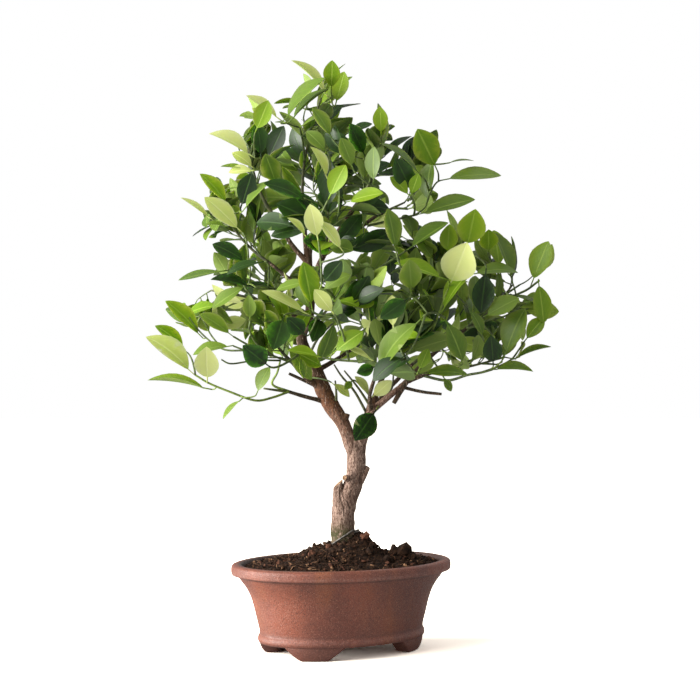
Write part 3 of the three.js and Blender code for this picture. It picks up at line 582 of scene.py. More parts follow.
# Near the fork the trunk is flatter from front to back, as the two limbs are
FORK_FROM = 184
FORK_RISE = 24
FORK_FLATTER = 0.36
LEADER = [
    [13, 0, 190, 12], [9.4, 0, 204, 14.2], [1, 1, 226, 14.4], [-13, 3, 248, 16.4], [-29, 7, 283, 15.6],
    [-41, 9, 312, 10.6], [-33, 10, 337, 9.4], [-35, 12, 394, 8],
]
RIGHT_BOUGH = [[14, 0, 196, 15], [17.5, 0, 207, 13.6], [24, -2, 226, 11.6], [31, -5, 248, 8.6]]
BOUGHS = {
    "low_left": [[-18, 3, 249, 5], [-37, -5, 254, 4], [-53, -12, 259, 3.4]],
    "left_lower": [[-22, 4, 262, 6.6], [-36, -6, 273, 5.4], [-48, -20, 287, 4.2]],
    "left": [[-37, 9, 327, 5], [-50, 0, 336, 4.2], [-64, -8, 344, 3.4]],
    "upper_left": [[-32, 10, 357, 5], [-52, 18, 371, 4.2], [-74, 24, 389, 3.4]],
    "top_left": [[-35, 12, 389, 6], [-49, 8, 404, 5], [-68, -4, 434, 4.2]],
    "top": [[-35, 12, 389, 6], [-38, 18, 420, 5], [-40, 20, 448, 3.8]],
    "top_right": [[-32, 10, 363, 7.4], [-20, -4, 392, 6], [11, -18, 440, 4.6]],
    "upper_right": [[-11, -8, 408, 5], [10, -2, 418, 4.4], [34, 6, 435, 3.6]],
    "back_left": [[-40, 9, 311, 5.6], [-50, 35, 327, 4.6], [-62, 62, 342, 3.6]],
    "back_top": [[-32, 11, 376, 5.6], [-33, 40, 401, 4.6], [-28, 68, 427, 3.6]],
    "back_right": [[-27, 7, 279, 5.6], [-11, 30, 288, 4.6], [8, 58, 300, 3.6]],
    "front_up": [[-31, 10, 368, 5], [-24, -18, 381, 4.2], [-18, -46, 396, 3.4]],
    "front_mid": [[-38, 9, 318, 5], [-31, -18, 325, 4.2], [-22, -46, 333, 3.4]],
    "low_bough": [[27, -4, 238, 7.4], [47, -12, 255, 6.4], [68, -18, 272, 5]],
    "low_right": [[66, -17, 270, 4.6], [84, -22, 277, 4.2], [101, -25, 281, 3.6]],
    "right_far": [[58, -15, 264, 5], [90, -8, 296, 4.2], [124, 0, 322, 3.6]],
    "right_mid": [[30, -5, 246, 6.4], [40, 2, 272, 5.4], [62, 2, 312, 4.2]],
    "right_front": [[29, -4, 240, 5], [27, -26, 254, 4.2], [32, -52, 275, 3.4]],
    "back_far_right": [[29, -4, 240, 5.6], [48, 26, 262, 4.6], [72, 50, 286, 3.6]],
}
STUBS = {
    "pruned_twig_right": [[58, -15, 264, 3.6], [80, -20, 259, 3.2], [98, -24, 257, 3]],
    "pruned_twig_left": [[-22, 4, 262, 3.6], [-38, -4, 270, 3.2], [-53, -8, 277, 3]],
}
# Sawn-off boughs: the stations of each, and how far its cut slants over X and Y
SAWN = {
    "old_leader_stub": [
        [[1, 0, 128, 17], [-1.2, -1.4, 142, 18.6], [-3.3, -2, 154, 13.4], [-3.9, -2.2, 163, 10.4],
         [-4, -2.4, 166.5, 9.8]], (0.9, 0.1)],
    "knob_right": [[[18, -1, 168, 6], [22.4, -1.6, 177, 6.4], [25.8, -2, 183.6, 4.8]], (-0.2, 0)],
    "eye_left": [[[8, -3, 171.6, 6], [4.6, -7.4, 172.8, 6.4], [2.4, -10.2, 173.6, 5.6]], (0, 0)],
    "knob_on_leader": [[[-1, -1, 226, 8], [2.4, -1.6, 232, 8], [4.4, -2, 236.4, 6.6]], (0.2, 0)],
    "stump_on_right_bough": [[[25, -3, 236, 7], [27, -6, 244, 5.8], [27.6, -8, 249, 5]], (0, 0)],
    "stump_on_low_bough": [
        [[70, -18, 277, 4], [62, -20, 266, 4.6], [55, -20.5, 255, 5.2], [51, -20.5, 248, 4.8]], (0, 0)],
}
# Scars that healed over: X, Y, Z, radius, height of the swelling, depth of its middle
SCARS = [
    [10.3, -9.8, 175.4, 3.0, 1.1, 1.5], [12.6, -9.6, 168.4, 4.2, -0.8, 0.6], [21.5, -3, 172, 5, -1.3, 0.4],
    [14.3, -9.8, 204.5, 3.4, 1.1, 1.1], [17.2, -9.4, 197, 3, 0.8, 1.0], [21.6, -6, 207, 2.6, 0.6, 0.6],
]
# Fissures on the trunk's front, as lines of X and Z: below the notch beside the old leader's stub and
# between the two limbs of the fork
FISSURES = [
    [[1.4, 168], [-0.1, 157.7], [2.2, 152.5], [5.7, 149.1], [8, 143]],
    [[-2.1, 162.3], [-2.4, 154.8], [-0.1, 147.9], [1.7, 143.5], [2, 136]],
    [[9.1, 160.5], [8, 154.8]], [[8.3, 196], [8, 203], [10.4, 207.5]],
]
STUB_SCARS = [[-5, -7, 158, 2, -0.4, 0.3]]
LEADER_SCARS = [[-2, -6, 240, 4, 0.6, 0.4], [-26, -1, 268, 4.4, 0.7, 0.5]]
# The furrows' noise: size across the limb, share of the depth and offset of the seed
FURROWS = [(2.0, 0.8, 1), (1.1, 0.7, 2), (0.6, 0.5, 3)]
# The rings of a cut, from its rim in: how far out and how far along the axis each lies, its furrow and
# how bare its wood is
CUT_RINGS = np.array([
    [0.97, 0.09, 0.5, 0], [0.9, 0.13, 1.2, 0.1], [0.8, 0.08, 0.6, 0.7], [0.7, -0.06, 0.3, 1],
    [0.5, -0.12, 0.5, 1], [0.25, -0.2, 0.9, 0.8], [0.06, -0.26, 1.8, 0.3],
])
# Bark when young, middling and old, and bare wood: the mottle's scale, detail and stretch, two colours
BARK_TONES = [
    (220, 3, 0.4, (46, 46, 34), (72, 66, 50)), (300, 4, 0.25, (86, 52, 34), (130, 86, 58)),
    (420, 4, 0.3, (113, 89, 77), (161, 134, 120)), (700, 4, 1, (112, 84, 60), (164, 128, 92)),
]
# Moss round the trunk's foot: its height and reach, the X where it ends and how it fades before that
MOSS_HEIGHT = 116
MOSS_REACH = 10
MOSS_END = 20
MOSS_FADE = 15


def limb_through(stations):
    """A limb through stations of X, Y, Z and diameter: its axis and radius at a share of its length."""
    stations = np.asarray(stations, float)
    curve = through(stations[:, :3])
    steps = np.linspace(0, 1, 201)
    runs = np.linalg.norm(np.diff(curve(steps), axis=0), axis=1)
    lengths = np.concatenate([[0], np.cumsum(runs)])
    shares = np.interp(np.linspace(0, 1, len(stations)), steps, lengths) / lengths[-1]
    return {
        "at": lambda along: curve(np.interp(np.asarray(along) * lengths[-1], lengths, steps)),
        "radius": lambda along: np.interp(along, shares, stations[:, 3]) / 2,
        "length": lengths[-1],
        "leaving": curve(1.0) - curve(1 - 1e-4),
    }


def unit(vectors):
    return vectors / np.linalg.norm(vectors, axis=-1, keepdims=True)


def carried_rings(middle):
    """Two unit vectors square to a line at each of its points, turned as little as can be from each
    point to the next."""
    tangent = unit(np.gradient(middle, axis=0))
    start = np.cross(tangent[0], [0, 0, 1]) if abs(tangent[0][2]) < 0.98 else np.cross(tangent[0], [1, 0, 0])
    normal = [unit(start)]
    for direction in tangent[1:]:
        normal.append(unit(normal[-1] - direction * np.dot(normal[-1], direction)))
    normal = np.array(normal)
    return normal, np.cross(tangent, normal)


def spokes(middle, around):
    """Angles a round a line, and cos a n + sin a b for each at each of its points."""
    normal, binormal = carried_rings(middle)
    angle = np.linspace(0, 2 * math.pi, around, endpoint=False)
    return angle, normal[:, None] * np.cos(angle)[:, None] + binormal[:, None] * np.sin(angle)[:, None]


def off_fissures(points):
    """The distance of each point, as seen from the front, from the nearest fissure."""
    least = np.full(points.shape[:-1], np.inf)
    for line in FISSURES:
        for start, end in zip(np.array(line), np.array(line[1:])):
            seen = points[..., [0, 2]] - start
            part = np.clip(seen @ (end - start) / np.sum((end - start) ** 2), 0, 1)
            least = np.minimum(least, np.linalg.norm(seen - part[..., None] * (end - start), axis=-1))
    return np.where(points[..., 1] < 0, least, np.inf)


def flatter_at_fork(points):
    """Y times 1 - f (3 r^2 - 2 r^3), where r runs from 0 to 1 up to the fork."""
    rise = np.clip((points[..., 2] - FORK_FROM) / FORK_RISE, 0, 1)
    narrower = 1 - FORK_FLATTER * rise**2 * (3 - 2 * rise)
    return points * np.stack([0 * rise + 1, narrower, 0 * rise + 1], axis=-1)


def barked(limb, around, rows, depth, collar, scars, seed, fissured, forked):
    """Point (s, a): axis(s) + r (cos a n + sin a b). The radius r is the limb's, wider at the collar,
    less the furrows: ridged noise that is drawn out along the limb."""
    share = np.linspace(0, 1, rows)
    middle = limb["at"](share)
    angle, outward = spokes(middle, around)
    radius = limb["radius"](share)
    along = share * limb["length"]
    radius = (radius * (1 + collar * np.exp(-along / (1.3 * radius[0]))))[:, None]
    rolled = np.broadcast_arrays(radius * np.cos(angle), radius * np.sin(angle), along[:, None])
    rolled = np.stack(rolled, axis=-1)
    warped = rolled + 2.4 * (grain(rolled, 8, seed)[..., None] - 0.5)
    furrow = 0
    for size, share_of_depth, offset in FURROWS:
        ridge = 1 - np.abs(2 * grain(warped * [1, 1, 0.2], size, seed + offset) - 1)
        furrow = furrow + share_of_depth * ridge**3
    wander = 0.07 * radius * (grain(rolled, 14, seed + 4) + 0.6 * grain(rolled, 6, seed + 5) - 0.8)
    points = middle[:, None] + outward * (radius + 2 * wander - depth * furrow)[..., None]
    for x, y, z, wide, high, deep in scars:
        off = np.linalg.norm((points - [x, y, z]) * [1, 0.6, 0.8], axis=-1) / wide
        points = points + outward * (high * np.exp(-(off**4)) - deep * np.exp(-((2.4 * off) ** 2)))[..., None]
        # The scars' hollows and rims are darkened through the furrow, partly as painted shade
        furrow = furrow + 1.6 * deep * hump(off, 0, 0.5) + 0.7 * hump(off, 1, 0.16) * (deep > 0)
    if forked:
        points = flatter_at_fork(points)
    if fissured:
        split = hump(off_fissures(points), 0, 0.75)
        points = points - outward * 0.8 * split[..., None]
        # The fissures are darkened through the furrow, partly as painted shade
        furrow = furrow + 1.1 * split
    return points, furrow, np.broadcast_to(radius, furrow.shape)


def sawn_across(points, slant):
    """A limb's points with a cut at its end: the last rings are sheared by the slant, and smaller rings
    run in from them, first over a lip of healed bark and then into a shallow hollow."""
    centres = points.mean(axis=1, keepdims=True)
    axis = unit(centres[-1, 0] - centres[-4, 0])
    late = np.clip(np.linspace(-1, 1, len(points)), 0, 1)[:, None] ** 2
    shift = late * ((points - centres)[..., :2] @ np.array(slant))
    points = points + axis * shift[..., None]
    rim = points[-1] - points[-1].mean(axis=0)
    size = np.linalg.norm(rim, axis=1).mean()
    out, along = CUT_RINGS[:, 0, None, None], CUT_RINGS[:, 1, None, None]
    return np.concatenate([points, points[-1].mean(axis=0) + rim * out + axis * size * along])


def bark():
    """Bark by what the points carry: its tone by age, a darker brown by furrow, partly the bark's own
    colour in its furrows and partly painted shade there, in the fissures and in the scars' hollows, bare wood
    by cut and a green cast by moss."""
    finish, tree, shader = new_finish("bark")
    tones = []
    for scale, detail, stretch, dark, light in BARK_TONES:
        mask = mottled(tree, scale, 0.35, 0.65, detail, (1, 1, stretch))
        tones.append(blend_colours(tree, mask, dark, light))
    young, middle, old, wood = tones
    age = carried(tree, "age")
    grown_up = blend_colours(tree, ranged(tree, age, 0.5, 1.0), middle, old)
    colour = blend_colours(tree, ranged(tree, age, 0.0, 0.5), young, grown_up)
    colour = layered(tree, colour, [
        (900, 0.52, 0.62, 2, (1, 1, 0.5), (88, 64, 50)),
        (700, 0.6, 0.7, 2, (1, 1, 0.35), (176, 150, 132)),
    ])
    # Darker in the furrows, fissures and scar hollows: partly the bark's own colour, partly painted shade
    cracks_and_shade = ranged(tree, carried(tree, "furrow"), 0.9, 2.1, 0, 0.62)
    colour = blend_colours(tree, cracks_and_shade, colour, (56, 42, 34))
    colour = blend_colours(tree, carried(tree, "cut"), colour, wood)
    green = reckoned(tree, "MULTIPLY", carried(tree, "moss"), mottled(tree, 240, 0.3, 0.52))
    colour = blend_colours(tree, green, colour, (66, 64, 36))
    feed(tree, shader, {"Base Color": colour, "Roughness": 0.86, "Specular IOR Level": 0.3})
    relief(tree, shader, mottled(tree, 1500, 0.3, 0.7, 3, (1, 1, 0.25)), 0.25)
    return finish


bark_finish = bark()


def bark_piece(name, limb, stands_for, around, rows, depth, collar, age, scars=(), seed=1, slant=None,
               mossy=False, fissured=False, forked=False):
    """A limb's bark as a piece, sawn across at its end if it has a slant."""
    points, furrow, radius = barked(limb, around, rows, depth, collar, scars, seed, fissured, forked)
    cut = np.zeros(furrow.shape)
    if slant is not None:
        points = sawn_across(points, slant)
        ring_furrow, ring_cut = (np.outer(column, np.ones(around)) for column in CUT_RINGS.T[2:])
        furrow = np.concatenate([furrow, ring_furrow])
        cut = np.concatenate([cut, ring_cut])
        radius = np.concatenate([radius, np.broadcast_to(radius[-1:], ring_cut.shape)])
    faces = capped_quads(len(points), around)
    piece = make_piece(name, points.reshape(-1, 3), faces, [bark_finish], stands_for, "bark")
    left = np.clip((MOSS_END - points[..., 0]) / MOSS_FADE, 0, 1)
    moss = mossy * left * hump(points[..., 2], MOSS_HEIGHT, MOSS_REACH)
    for label, values in (("furrow", furrow), ("cut", cut), ("age", age(points, radius)), ("moss", moss)):
        give_values(piece, label, values)


def age_by_height(most, start, run, least):
    """An age from a least value to 1: most - (z - start) / run."""
    return lambda points, radius: np.clip(most - (points[..., 2] - start) / run, least, 1)


def age_of_bough(points, radius):
    """An age from 0.02 to 0.4 by thickness."""
    return np.clip((radius - 1.8) / 7, 0.02, 0.4)


age_of_trunk = age_by_height(1.05, 205, 120, 0.55)
age_of_leader = age_by_height(0.84, 210, 110, 0.12)
age_of_right_bough = age_by_height(1, 215, 220, 0.8)
AGES = {
    "old_leader_stub": age_of_trunk, "knob_right": age_of_trunk, "eye_left": age_of_trunk,
    "knob_on_leader": age_of_bough, "stump_on_right_bough": age_of_right_bough,
    "stump_on_low_bough": age_of_bough, "low_bough": age_of_right_bough,
}

bark_piece("trunk_bark", limb_through(TRUNK), ["trunk"], 300, 300, 0.22, 0.0, age_of_trunk, SCARS, 1,
           mossy=True, fissured=True, forked=True)
bark_piece("leader_bark", limb_through(LEADER), ["leader"], 200, 420, 0.26, 0.0, age_of_leader,
           LEADER_SCARS, 31)
bark_piece("right_bough_bark", limb_through(RIGHT_BOUGH), ["right_bough"], 180, 160, 0.24, 0.0,
           age_of_right_bough, (), 41)
for order, (name, (stations, slant)) in enumerate(SAWN.items()):
    notched = name == "old_leader_stub"
    rows = 120 if notched else 60
    marks = STUB_SCARS if notched else ()
    bark_piece(name, limb_through(stations), [], 120, rows, 0.2, 0.1, AGES[name], marks, 21 + order, slant,
               fissured=notched)
for order, (name, stations) in enumerate({**BOUGHS, **STUBS}.items()):
    node = name if name == "low_bough" or name in STUBS else f"{name}_bough"
    limb = limb_through(stations)
    rows = int(limb["length"] / 0.9)
    age = AGES.get(name, age_of_bough)
    bark_piece(f"{name}_bark", limb, [node], 48, rows, 0.1, 0.3, age, (), 50 + 7 * order)


# The tie wire: dull grey steel, drawn across the front of the trunk's foot and twisted at its right
# side. It follows the same turns and heights as the solid, and its left end runs down into the soil.
WIRE_RADIUS = 0.95
WIRE_OFF = 0.4
WIRE_TURNS = (190, 400)
WIRE_HEIGHTS = [103, 109, 115.5, 121.4, 118, 111]
WIRE_POINTS = 14
WIRE_LEFT_END = [[-19, -8.6, 99.5], [-15.6, -6, 101.6]]
# The trunk's foot within the wire: the X of its middle and its radius
WIRE_MIDDLE = 0.6
WIRE_INSIDE = 12.4
# The twist of two strands: its start, its run, its turns, and the strands' spread and radius
TWIST_START = np.array([13.0, -5.6, 119.4])
TWIST_RUN = np.array([3.2, -3.4, 1.6])
TWIST_TURNS = 2.5
TWIST_SPREAD = 0.9
TWIST_RADIUS = 0.7


def tube_round(middle, radius, around):
    """Point (s, a): middle(s) + r(s) (cos a n + sin a b), with faces that close both ends."""
    _, outward = spokes(middle, around)
    points = middle[:, None] + outward * np.broadcast_to(radius, len(middle))[:, None, None]
    return points.reshape(-1, 3), capped_quads(len(middle), around)


def two_toned(name, scale, dark, light, rough):
    """A new material mottled between two colours."""
    finish, tree, shader = new_finish(name)
    colour = blend_colours(tree, mottled(tree, scale, 0.35, 0.65), dark, light)
    feed(tree, shader, {"Base Color": colour, "Roughness": rough})
    return finish, tree, shader


wire_finish, _, wire_shader = two_toned("steel_wire", 500, (80, 76, 72), (124, 118, 112), 0.6)
wire_shader.inputs["Metallic"].default_value = 0.5
wire_part = np.linspace(0, 1, WIRE_POINTS)
wire_turn = np.radians(np.interp(wire_part, [0, 1], WIRE_TURNS))
wire_height = np.interp(wire_part, np.linspace(0, 1, len(WIRE_HEIGHTS)), WIRE_HEIGHTS)
wire_off = WIRE_INSIDE + WIRE_OFF + WIRE_RADIUS
wire_line = [WIRE_MIDDLE + wire_off * np.cos(wire_turn), wire_off * np.sin(wire_turn), wire_height]
wire_line = np.vstack([WIRE_LEFT_END, np.stack(wire_line, -1)[1:]])
wire_points, wire_faces = tube_round(through(wire_line)(np.linspace(0, 1, 160)), WIRE_RADIUS, 12)
make_piece("tie_wire_steel", wire_points, wire_faces, [wire_finish], ["tie_wire"], "wire")
twist_part = np.linspace(0, 1, 60)
for side in (0, 1):
    turn = 2 * math.pi * TWIST_TURNS * twist_part + side * math.pi
    strand = TWIST_SPREAD * np.stack([np.cos(turn), 0 * turn, np.sin(turn)], -1)
    strand = TWIST_START + twist_part[:, None] * TWIST_RUN + strand
    make_piece(f"tie_wire_twist_{side}", *tube_round(strand, TWIST_RADIUS, 8), [wire_finish], [], "wire")


# The crown: green twigs that grow on from the boughs' tips by the rule of the source, and leaves of
# one pinnate-veined blade on a short stalk, leathery and glossy above, pale and matt below. The
# finer twigs and their leaves fill the same spaces nearer to each mass's heart.
MASSES = {
    "low_left": [[-126, -26, 271], 84, [[-148, -33, 279], [-104, -30, 250]], 2, 95],
    "left_lower": [[-70, -45, 316], 68, [[-98, -42, 309]], 4, 3003],
    "left": [[-126, -8, 358], 72, [[-146, 3, 326], [-125, -14, 382]], 3, 2238],
    "upper_left": [[-116, 26, 437], 70, [[-135, 28, 440], [-114, 18, 455]], 3, 1423],
    "top_left": [[-90, -8, 505], 70, [[-80, -6, 528], [-96, -14, 504]], 3, 1334],
    "top": [[-24, 14, 538], 72, [[-15, 10, 558], [-42, 22, 545]], 4, 3548],
    "top_right": [[36, -24, 488], 72, [[34, -16, 512], [22, -24, 500]], 3, 2196],
    "upper_right": [[100, 8, 466], 76, [[82, 4, 489], [104, 10, 474], [84, 0, 438]], 3, 3775],
    "right_mid": [[88, -10, 388], 72, [[106, -10, 378]], 4, 2179],
    "right_far": [[168, 4, 366], 76, [[184, 0, 370], [182, 6, 340], [158, 8, 382]], 3, 338],
    "low_right": [[146, -28, 291], 76, [[155, -32, 286], [176, -24, 300]], 4, 1302],
    "right_front": [[50, -76, 302], 72, [[72, -64, 300]], 4, 2991],
    "front_mid": [[-8, -80, 350], 72, [], 5, 625],
    "front_up": [[-14, -74, 428], 74, [], 5, 763],
    "back_left": [[-80, 88, 366], 78, [], 5, 3880],
    "back_top": [[-20, 88, 468], 80, [], 5, 374],
    "back_right": [[30, 92, 344], 78, [], 5, 2747],
    "back_far_right": [[108, 80, 320], 74, [], 4, 3760],
}
SPACE_CLEARANCE = 0.4
LIMB_CLEARANCE = 1.2
TWIG_CLEARANCE = 2.6
BEAD_SPACING = 3
GOLDEN_ANGLE = math.pi * (3 - math.sqrt(5))
STEM_PAST_HEART = 1.2
STEM_THICKER = 1.4
STEM_BARE = 0.55
SHOOT_SPREAD = 0.45
SHOOT_LEAD = 0.3
SHOOT_SAG = 0.08
SHOOT_BARE = 0.2
TWIG_RADIUS = 1.3
LENGTH_VARIES = 0.4
LEAF_TIP_INSET = 1.5
LEAF_SPACING = 8
LEAF_SPACING_GROWS = 1.2
# How far along a leaf its blade's middle lies
BLADE_MIDDLE = 0.6
LEAF_OPENING_TIP = math.radians(16)
LEAF_OPENING_STEP = math.radians(14)
LEAF_OPENING_MOST = math.radians(62)
LEAF_OPENING_VARIES = 0.3
LEAF_TRIES = 6
TRY_TURNS = 2
TRY_OPENS = 0.15
TRY_SHORTENS = 0.06
LEAF_LENGTH = 47
SOLID_LEAF_WIDTH = 0.55
SOLID_LEAF_WIDEST_AT = 0.56
LEAF_FOLD = 0.16
SKY_PULL = 0.7
OUTWARD_PULL = 0.42


def draws_from(seed):
    """A repeatable run of numbers from 0 to 1: each state is 16807 times the last, modulo 2^31 - 1."""
    state = seed
    count = 0
    while True:
        state = state * 16807 % 2147483647
        count += 1
        if count > 2:
            yield state / 2147483647


class Shoot:
    """A curve (1-t)^2 a + 2 t (1-t) b + t^2 c, whose middle point b lies half its length out along
    the direction in which it leaves, and a little lower."""

    def __init__(self, start, leaving, tip, radius, bare, steps):
        reach = np.linalg.norm(tip - start)
        middle = start + leaving * 0.5 * reach - np.array([0, 0, SHOOT_SAG * reach])
        self.corners = (start, middle, tip)
        self.radius = radius
        self.bare = bare
        self.carrier = None
        self.runs = self.at(np.linspace(0, 1, steps + 1))
        self.length = np.sum(np.linalg.norm(np.diff(self.at(np.linspace(0, 1, 201)), axis=0), axis=1))

    def at(self, t):
        a, b, c = self.corners
        t = np.asarray(t, float)[..., None]
        return (1 - t) ** 2 * a + 2 * t * (1 - t) * b + t**2 * c

    def heading(self, t):
        a, b, c = self.corners
        return unit((1 - t) * (b - a) + t * (c - b))

    def on_runs(self, along):
        place = along * (len(self.runs) - 1)
        first = min(int(place), len(self.runs) - 2)
        return self.runs[first] + (self.runs[first + 1] - self.runs[first]) * (place - first)


def square_to(axis, turn):
    """A unit vector square to an axis, turned about it from the level."""
    reference = [1, 0, 0] if abs(axis[2]) > 0.98 else [0, 0, 1]
    level = unit(np.cross(axis, reference))
    return level * math.cos(turn) + np.cross(level, axis) * math.sin(turn)


all_limbs = [limb_through([[9, 0, 204, 14], *LEADER[2:]]), limb_through([[17, 0, 205, 13], *RIGHT_BOUGH[2:]])]
bough_limbs = {name: limb_through(stations) for name, stations in {**BOUGHS, **STUBS}.items()}
all_limbs += bough_limbs.values()
bead_places = []
bead_radii = []
for limb in all_limbs:
    shares_along = np.linspace(0, 1, math.ceil(limb["length"] / BEAD_SPACING) + 1)
    bead_places.append(limb["at"](shares_along))
    bead_radii.append(limb["radius"](shares_along))
bead_places = np.vstack(bead_places)
bead_radii = np.concatenate(bead_radii)


class Mass:
    """The space of one mass: a ball round its heart, cut where it meets another by the plane on which
    both balls' powers are equal."""

    def __init__(self, name, heart, reach, tips, shoots, seed):
        limb = bough_limbs[name]
        self.name = name
        self.heart = np.array(heart, float)
        self.reach = reach
        self.tips = [np.array(tip, float) for tip in tips]
        self.shoots = shoots
        self.seed = seed
        self.start = limb["at"](1.0)
        self.leaving = unit(limb["leaving"])
        self.stem_radius = float(limb["radius"](1.0))
        near = np.linalg.norm(bead_places - self.heart, axis=1) < reach
        self.beads = (bead_places[near], bead_radii[near])

    def room(self, points):
        own = np.sum((points - self.heart) ** 2, axis=-1)
        rooms = [self.reach - np.sqrt(own)]
        for other in masses:
            if other is not self:
                theirs = np.sum((points - other.heart) ** 2, axis=-1) - other.reach**2
                apart = np.linalg.norm(other.heart - self.heart)
                rooms.append((theirs - own + self.reach**2) / (2 * apart))
        return np.min(rooms, axis=0)

    def free(self, points):
        points = np.atleast_2d(points)
        away = np.linalg.norm(points[:, None] - self.beads[0], axis=-1)
        clear = np.all(away > self.beads[1] + LIMB_CLEARANCE)
        return bool(clear and np.all(self.room(points) >= SPACE_CLEARANCE))


masses = [Mass(name, *mass) for name, mass in MASSES.items()]


def varied(draw):
    return 1 + LENGTH_VARIES * (next(draw) - 0.5)


def leaf_frame(shoot, along, turn, opening):
    """Where a leaf leaves its twig, the way its length points and the way its upper face looks: up
    and out from the crown's axis as far as its own direction lets it."""
    root = shoot.on_runs(along)
    axis = shoot.heading(along)
    side = square_to(axis, turn)
    direction = axis * math.cos(opening) + side * math.sin(opening)
    face = axis * math.sin(opening) - side * math.cos(opening)
    outward = root * [1, 1, 0]
    face = face + np.array([0, 0, SKY_PULL]) + OUTWARD_PULL * outward / np.linalg.norm(outward)
    face = unit(face - direction * np.dot(face, direction))
    return root, direction, face


def solid_corners(root, direction, face, length):
    """The root, two widest points and tip of the solid's plain leaf."""
    side = np.cross(face, direction)
    half = 0.5 * SOLID_LEAF_WIDTH * length
    widest = root + direction * SOLID_LEAF_WIDEST_AT * length + face * 2 * LEAF_FOLD * half
    return root, widest + side * half, widest - side * half, root + direction * length


def pierces(start, end, corners):
    """For each line from start to end and each triangle, whether the line passes through it."""
    a, b, c = corners
    way = end - start
    ab, ac = b - a, c - a
    cross = np.cross(way, ac)
    scale = np.sum(cross * ab, axis=-1)
    scale = np.where(np.abs(scale) < 1e-12, np.inf, scale)
    off = start - a
    u = np.sum(off * cross, axis=-1) / scale
    lift = np.cross(off, ab)
    v = np.sum(way * lift, axis=-1) / scale
    t = np.sum(ac * lift, axis=-1) / scale
    return (u >= 0) & (v >= 0) & (u + v <= 1) & (t >= 0) & (t < 1)


def from_runs(points, starts, ends):
    """The distance from each point to each straight run."""
    way = ends - starts
    part = np.sum((points[:, None] - starts) * way, axis=-1) / np.sum(way * way, axis=-1)
    nearest = starts + np.clip(part, 0, 1)[..., None] * way
    return np.linalg.norm(points[:, None] - nearest, axis=-1)


def blade_of(corners):
    """The two faces of a blade beyond its stalk, and the edges between them."""
    root, left, right, tip = corners
    neck = root + (tip - root) * 0.1
    faces = np.array([[neck, left, tip], [neck, tip, right]])
    edges = np.array([[neck, left], [left, tip], [tip, right], [right, neck], [neck, tip]])
    return {"middle": root + (tip - root) * BLADE_MIDDLE, "faces": faces, "edges": edges}


def blades_cross(one, others):
    """Whether one blade passes through any of the others."""
    for other in others:
        if np.linalg.norm(one["middle"] - other["middle"]) > LEAF_LENGTH:
            continue
        for edges, faces in ((one["edges"], other["faces"]), (other["edges"], one["faces"])):
            corners = [faces[None, :, k] for k in range(3)]
            if pierces(edges[:, None, 0], edges[:, None, 1], corners).any():
                return True
    return False


def off_tip(order):
    """How far below its shoot's tip the leaf of an order stands, counted from the tip."""
    return LEAF_TIP_INSET + LEAF_SPACING * order**LEAF_SPACING_GROWS


def grow_leaves(shoot, fits, draw, scale=1.0):
    """Leaves along a shoot from its tip down, turned by the golden angle from one to the next."""
    phase = next(draw) * 2 * math.pi
    kept = []
    order = 0
    while off_tip(order) < shoot.length * (1 - shoot.bare):
        along = 1 - off_tip(order) / shoot.length
        widest = min(LEAF_OPENING_TIP + order * LEAF_OPENING_STEP, LEAF_OPENING_MOST)
        opening = widest + LEAF_OPENING_VARIES * (next(draw) - 0.5)
        size = LEAF_LENGTH * varied(draw) * scale
        for attempt in range(LEAF_TRIES):
            turn = phase + (order + TRY_TURNS * attempt) * GOLDEN_ANGLE
            placed = leaf_frame(shoot, along, turn, opening + TRY_OPENS * attempt)
            leaf = (*placed, size * (1 - TRY_SHORTENS * attempt))
            if fits(leaf):
                kept.append((*leaf, order))
                break
        order += 1
    return kept


def grow_mass(mass):
    """A stem from the bough's tip past the heart, shoots that leave it for points spread about the
    heart, and leaves along each of them, as in the source of the solids."""
    draw = draws_from(mass.seed)
    stem_tip = mass.start + (mass.heart - mass.start) * STEM_PAST_HEART
    stem = Shoot(mass.start, mass.leaving, stem_tip, STEM_THICKER * mass.stem_radius, STEM_BARE, 3)
    shoots = [stem]
    turned = next(draw) * 2 * math.pi
    tips = list(mass.tips)
    for k in range(mass.shoots):
        height = 1 - 2 * (k + 0.5) / mass.shoots
        level = math.sqrt(1 - height * height)
        turn = turned + k * GOLDEN_ANGLE
        direction = np.array([level * math.cos(turn), level * math.sin(turn), height])
        tips.append(mass.heart + direction * mass.reach * SHOOT_SPREAD * varied(draw))
    run = stem_tip - mass.start
    for tip in tips:
        beside = np.dot(tip - mass.start, run) / np.dot(run, run)
        along = min(max(beside - SHOOT_LEAD, 0.1), 0.9)
        start = stem.at(along)
        shoot = Shoot(start, unit(stem.heading(along) + unit(tip - start)), tip, TWIG_RADIUS, SHOOT_BARE, 2)
        if mass.free(shoot.at([0.3, 0.6, 1])):
            shoots.append(shoot)
    starts = np.vstack([shoot.runs[:-1] for shoot in shoots])
    ends = np.vstack([shoot.runs[1:] for shoot in shoots])
    blades = []

    def fits(leaf):
        corners = solid_corners(*leaf)
        root, left, right, tip = corners
        probes = [left, right, tip, (root + tip) / 2]
        for part in (0.35, 0.7):
            probes += [root + (end - root) * part for end in (left, right, tip)]
            probes += [end + (tip - end) * part for end in (left, right)]
        probes = np.array(probes)
        blade = blade_of(corners)
        if np.min(from_runs(probes, starts, ends)) <= TWIG_CLEARANCE:
            return False
        faces = [blade["faces"][None, :, k] for k in range(3)]
        if pierces(starts[:, None], ends[:, None], faces).any():
            return False
        if not mass.free(probes) or blades_cross(blade, blades):
            return False
        blades.append(blade)
        return True

    return shoots, [grow_leaves(shoot, fits, draw) for shoot in shoots]


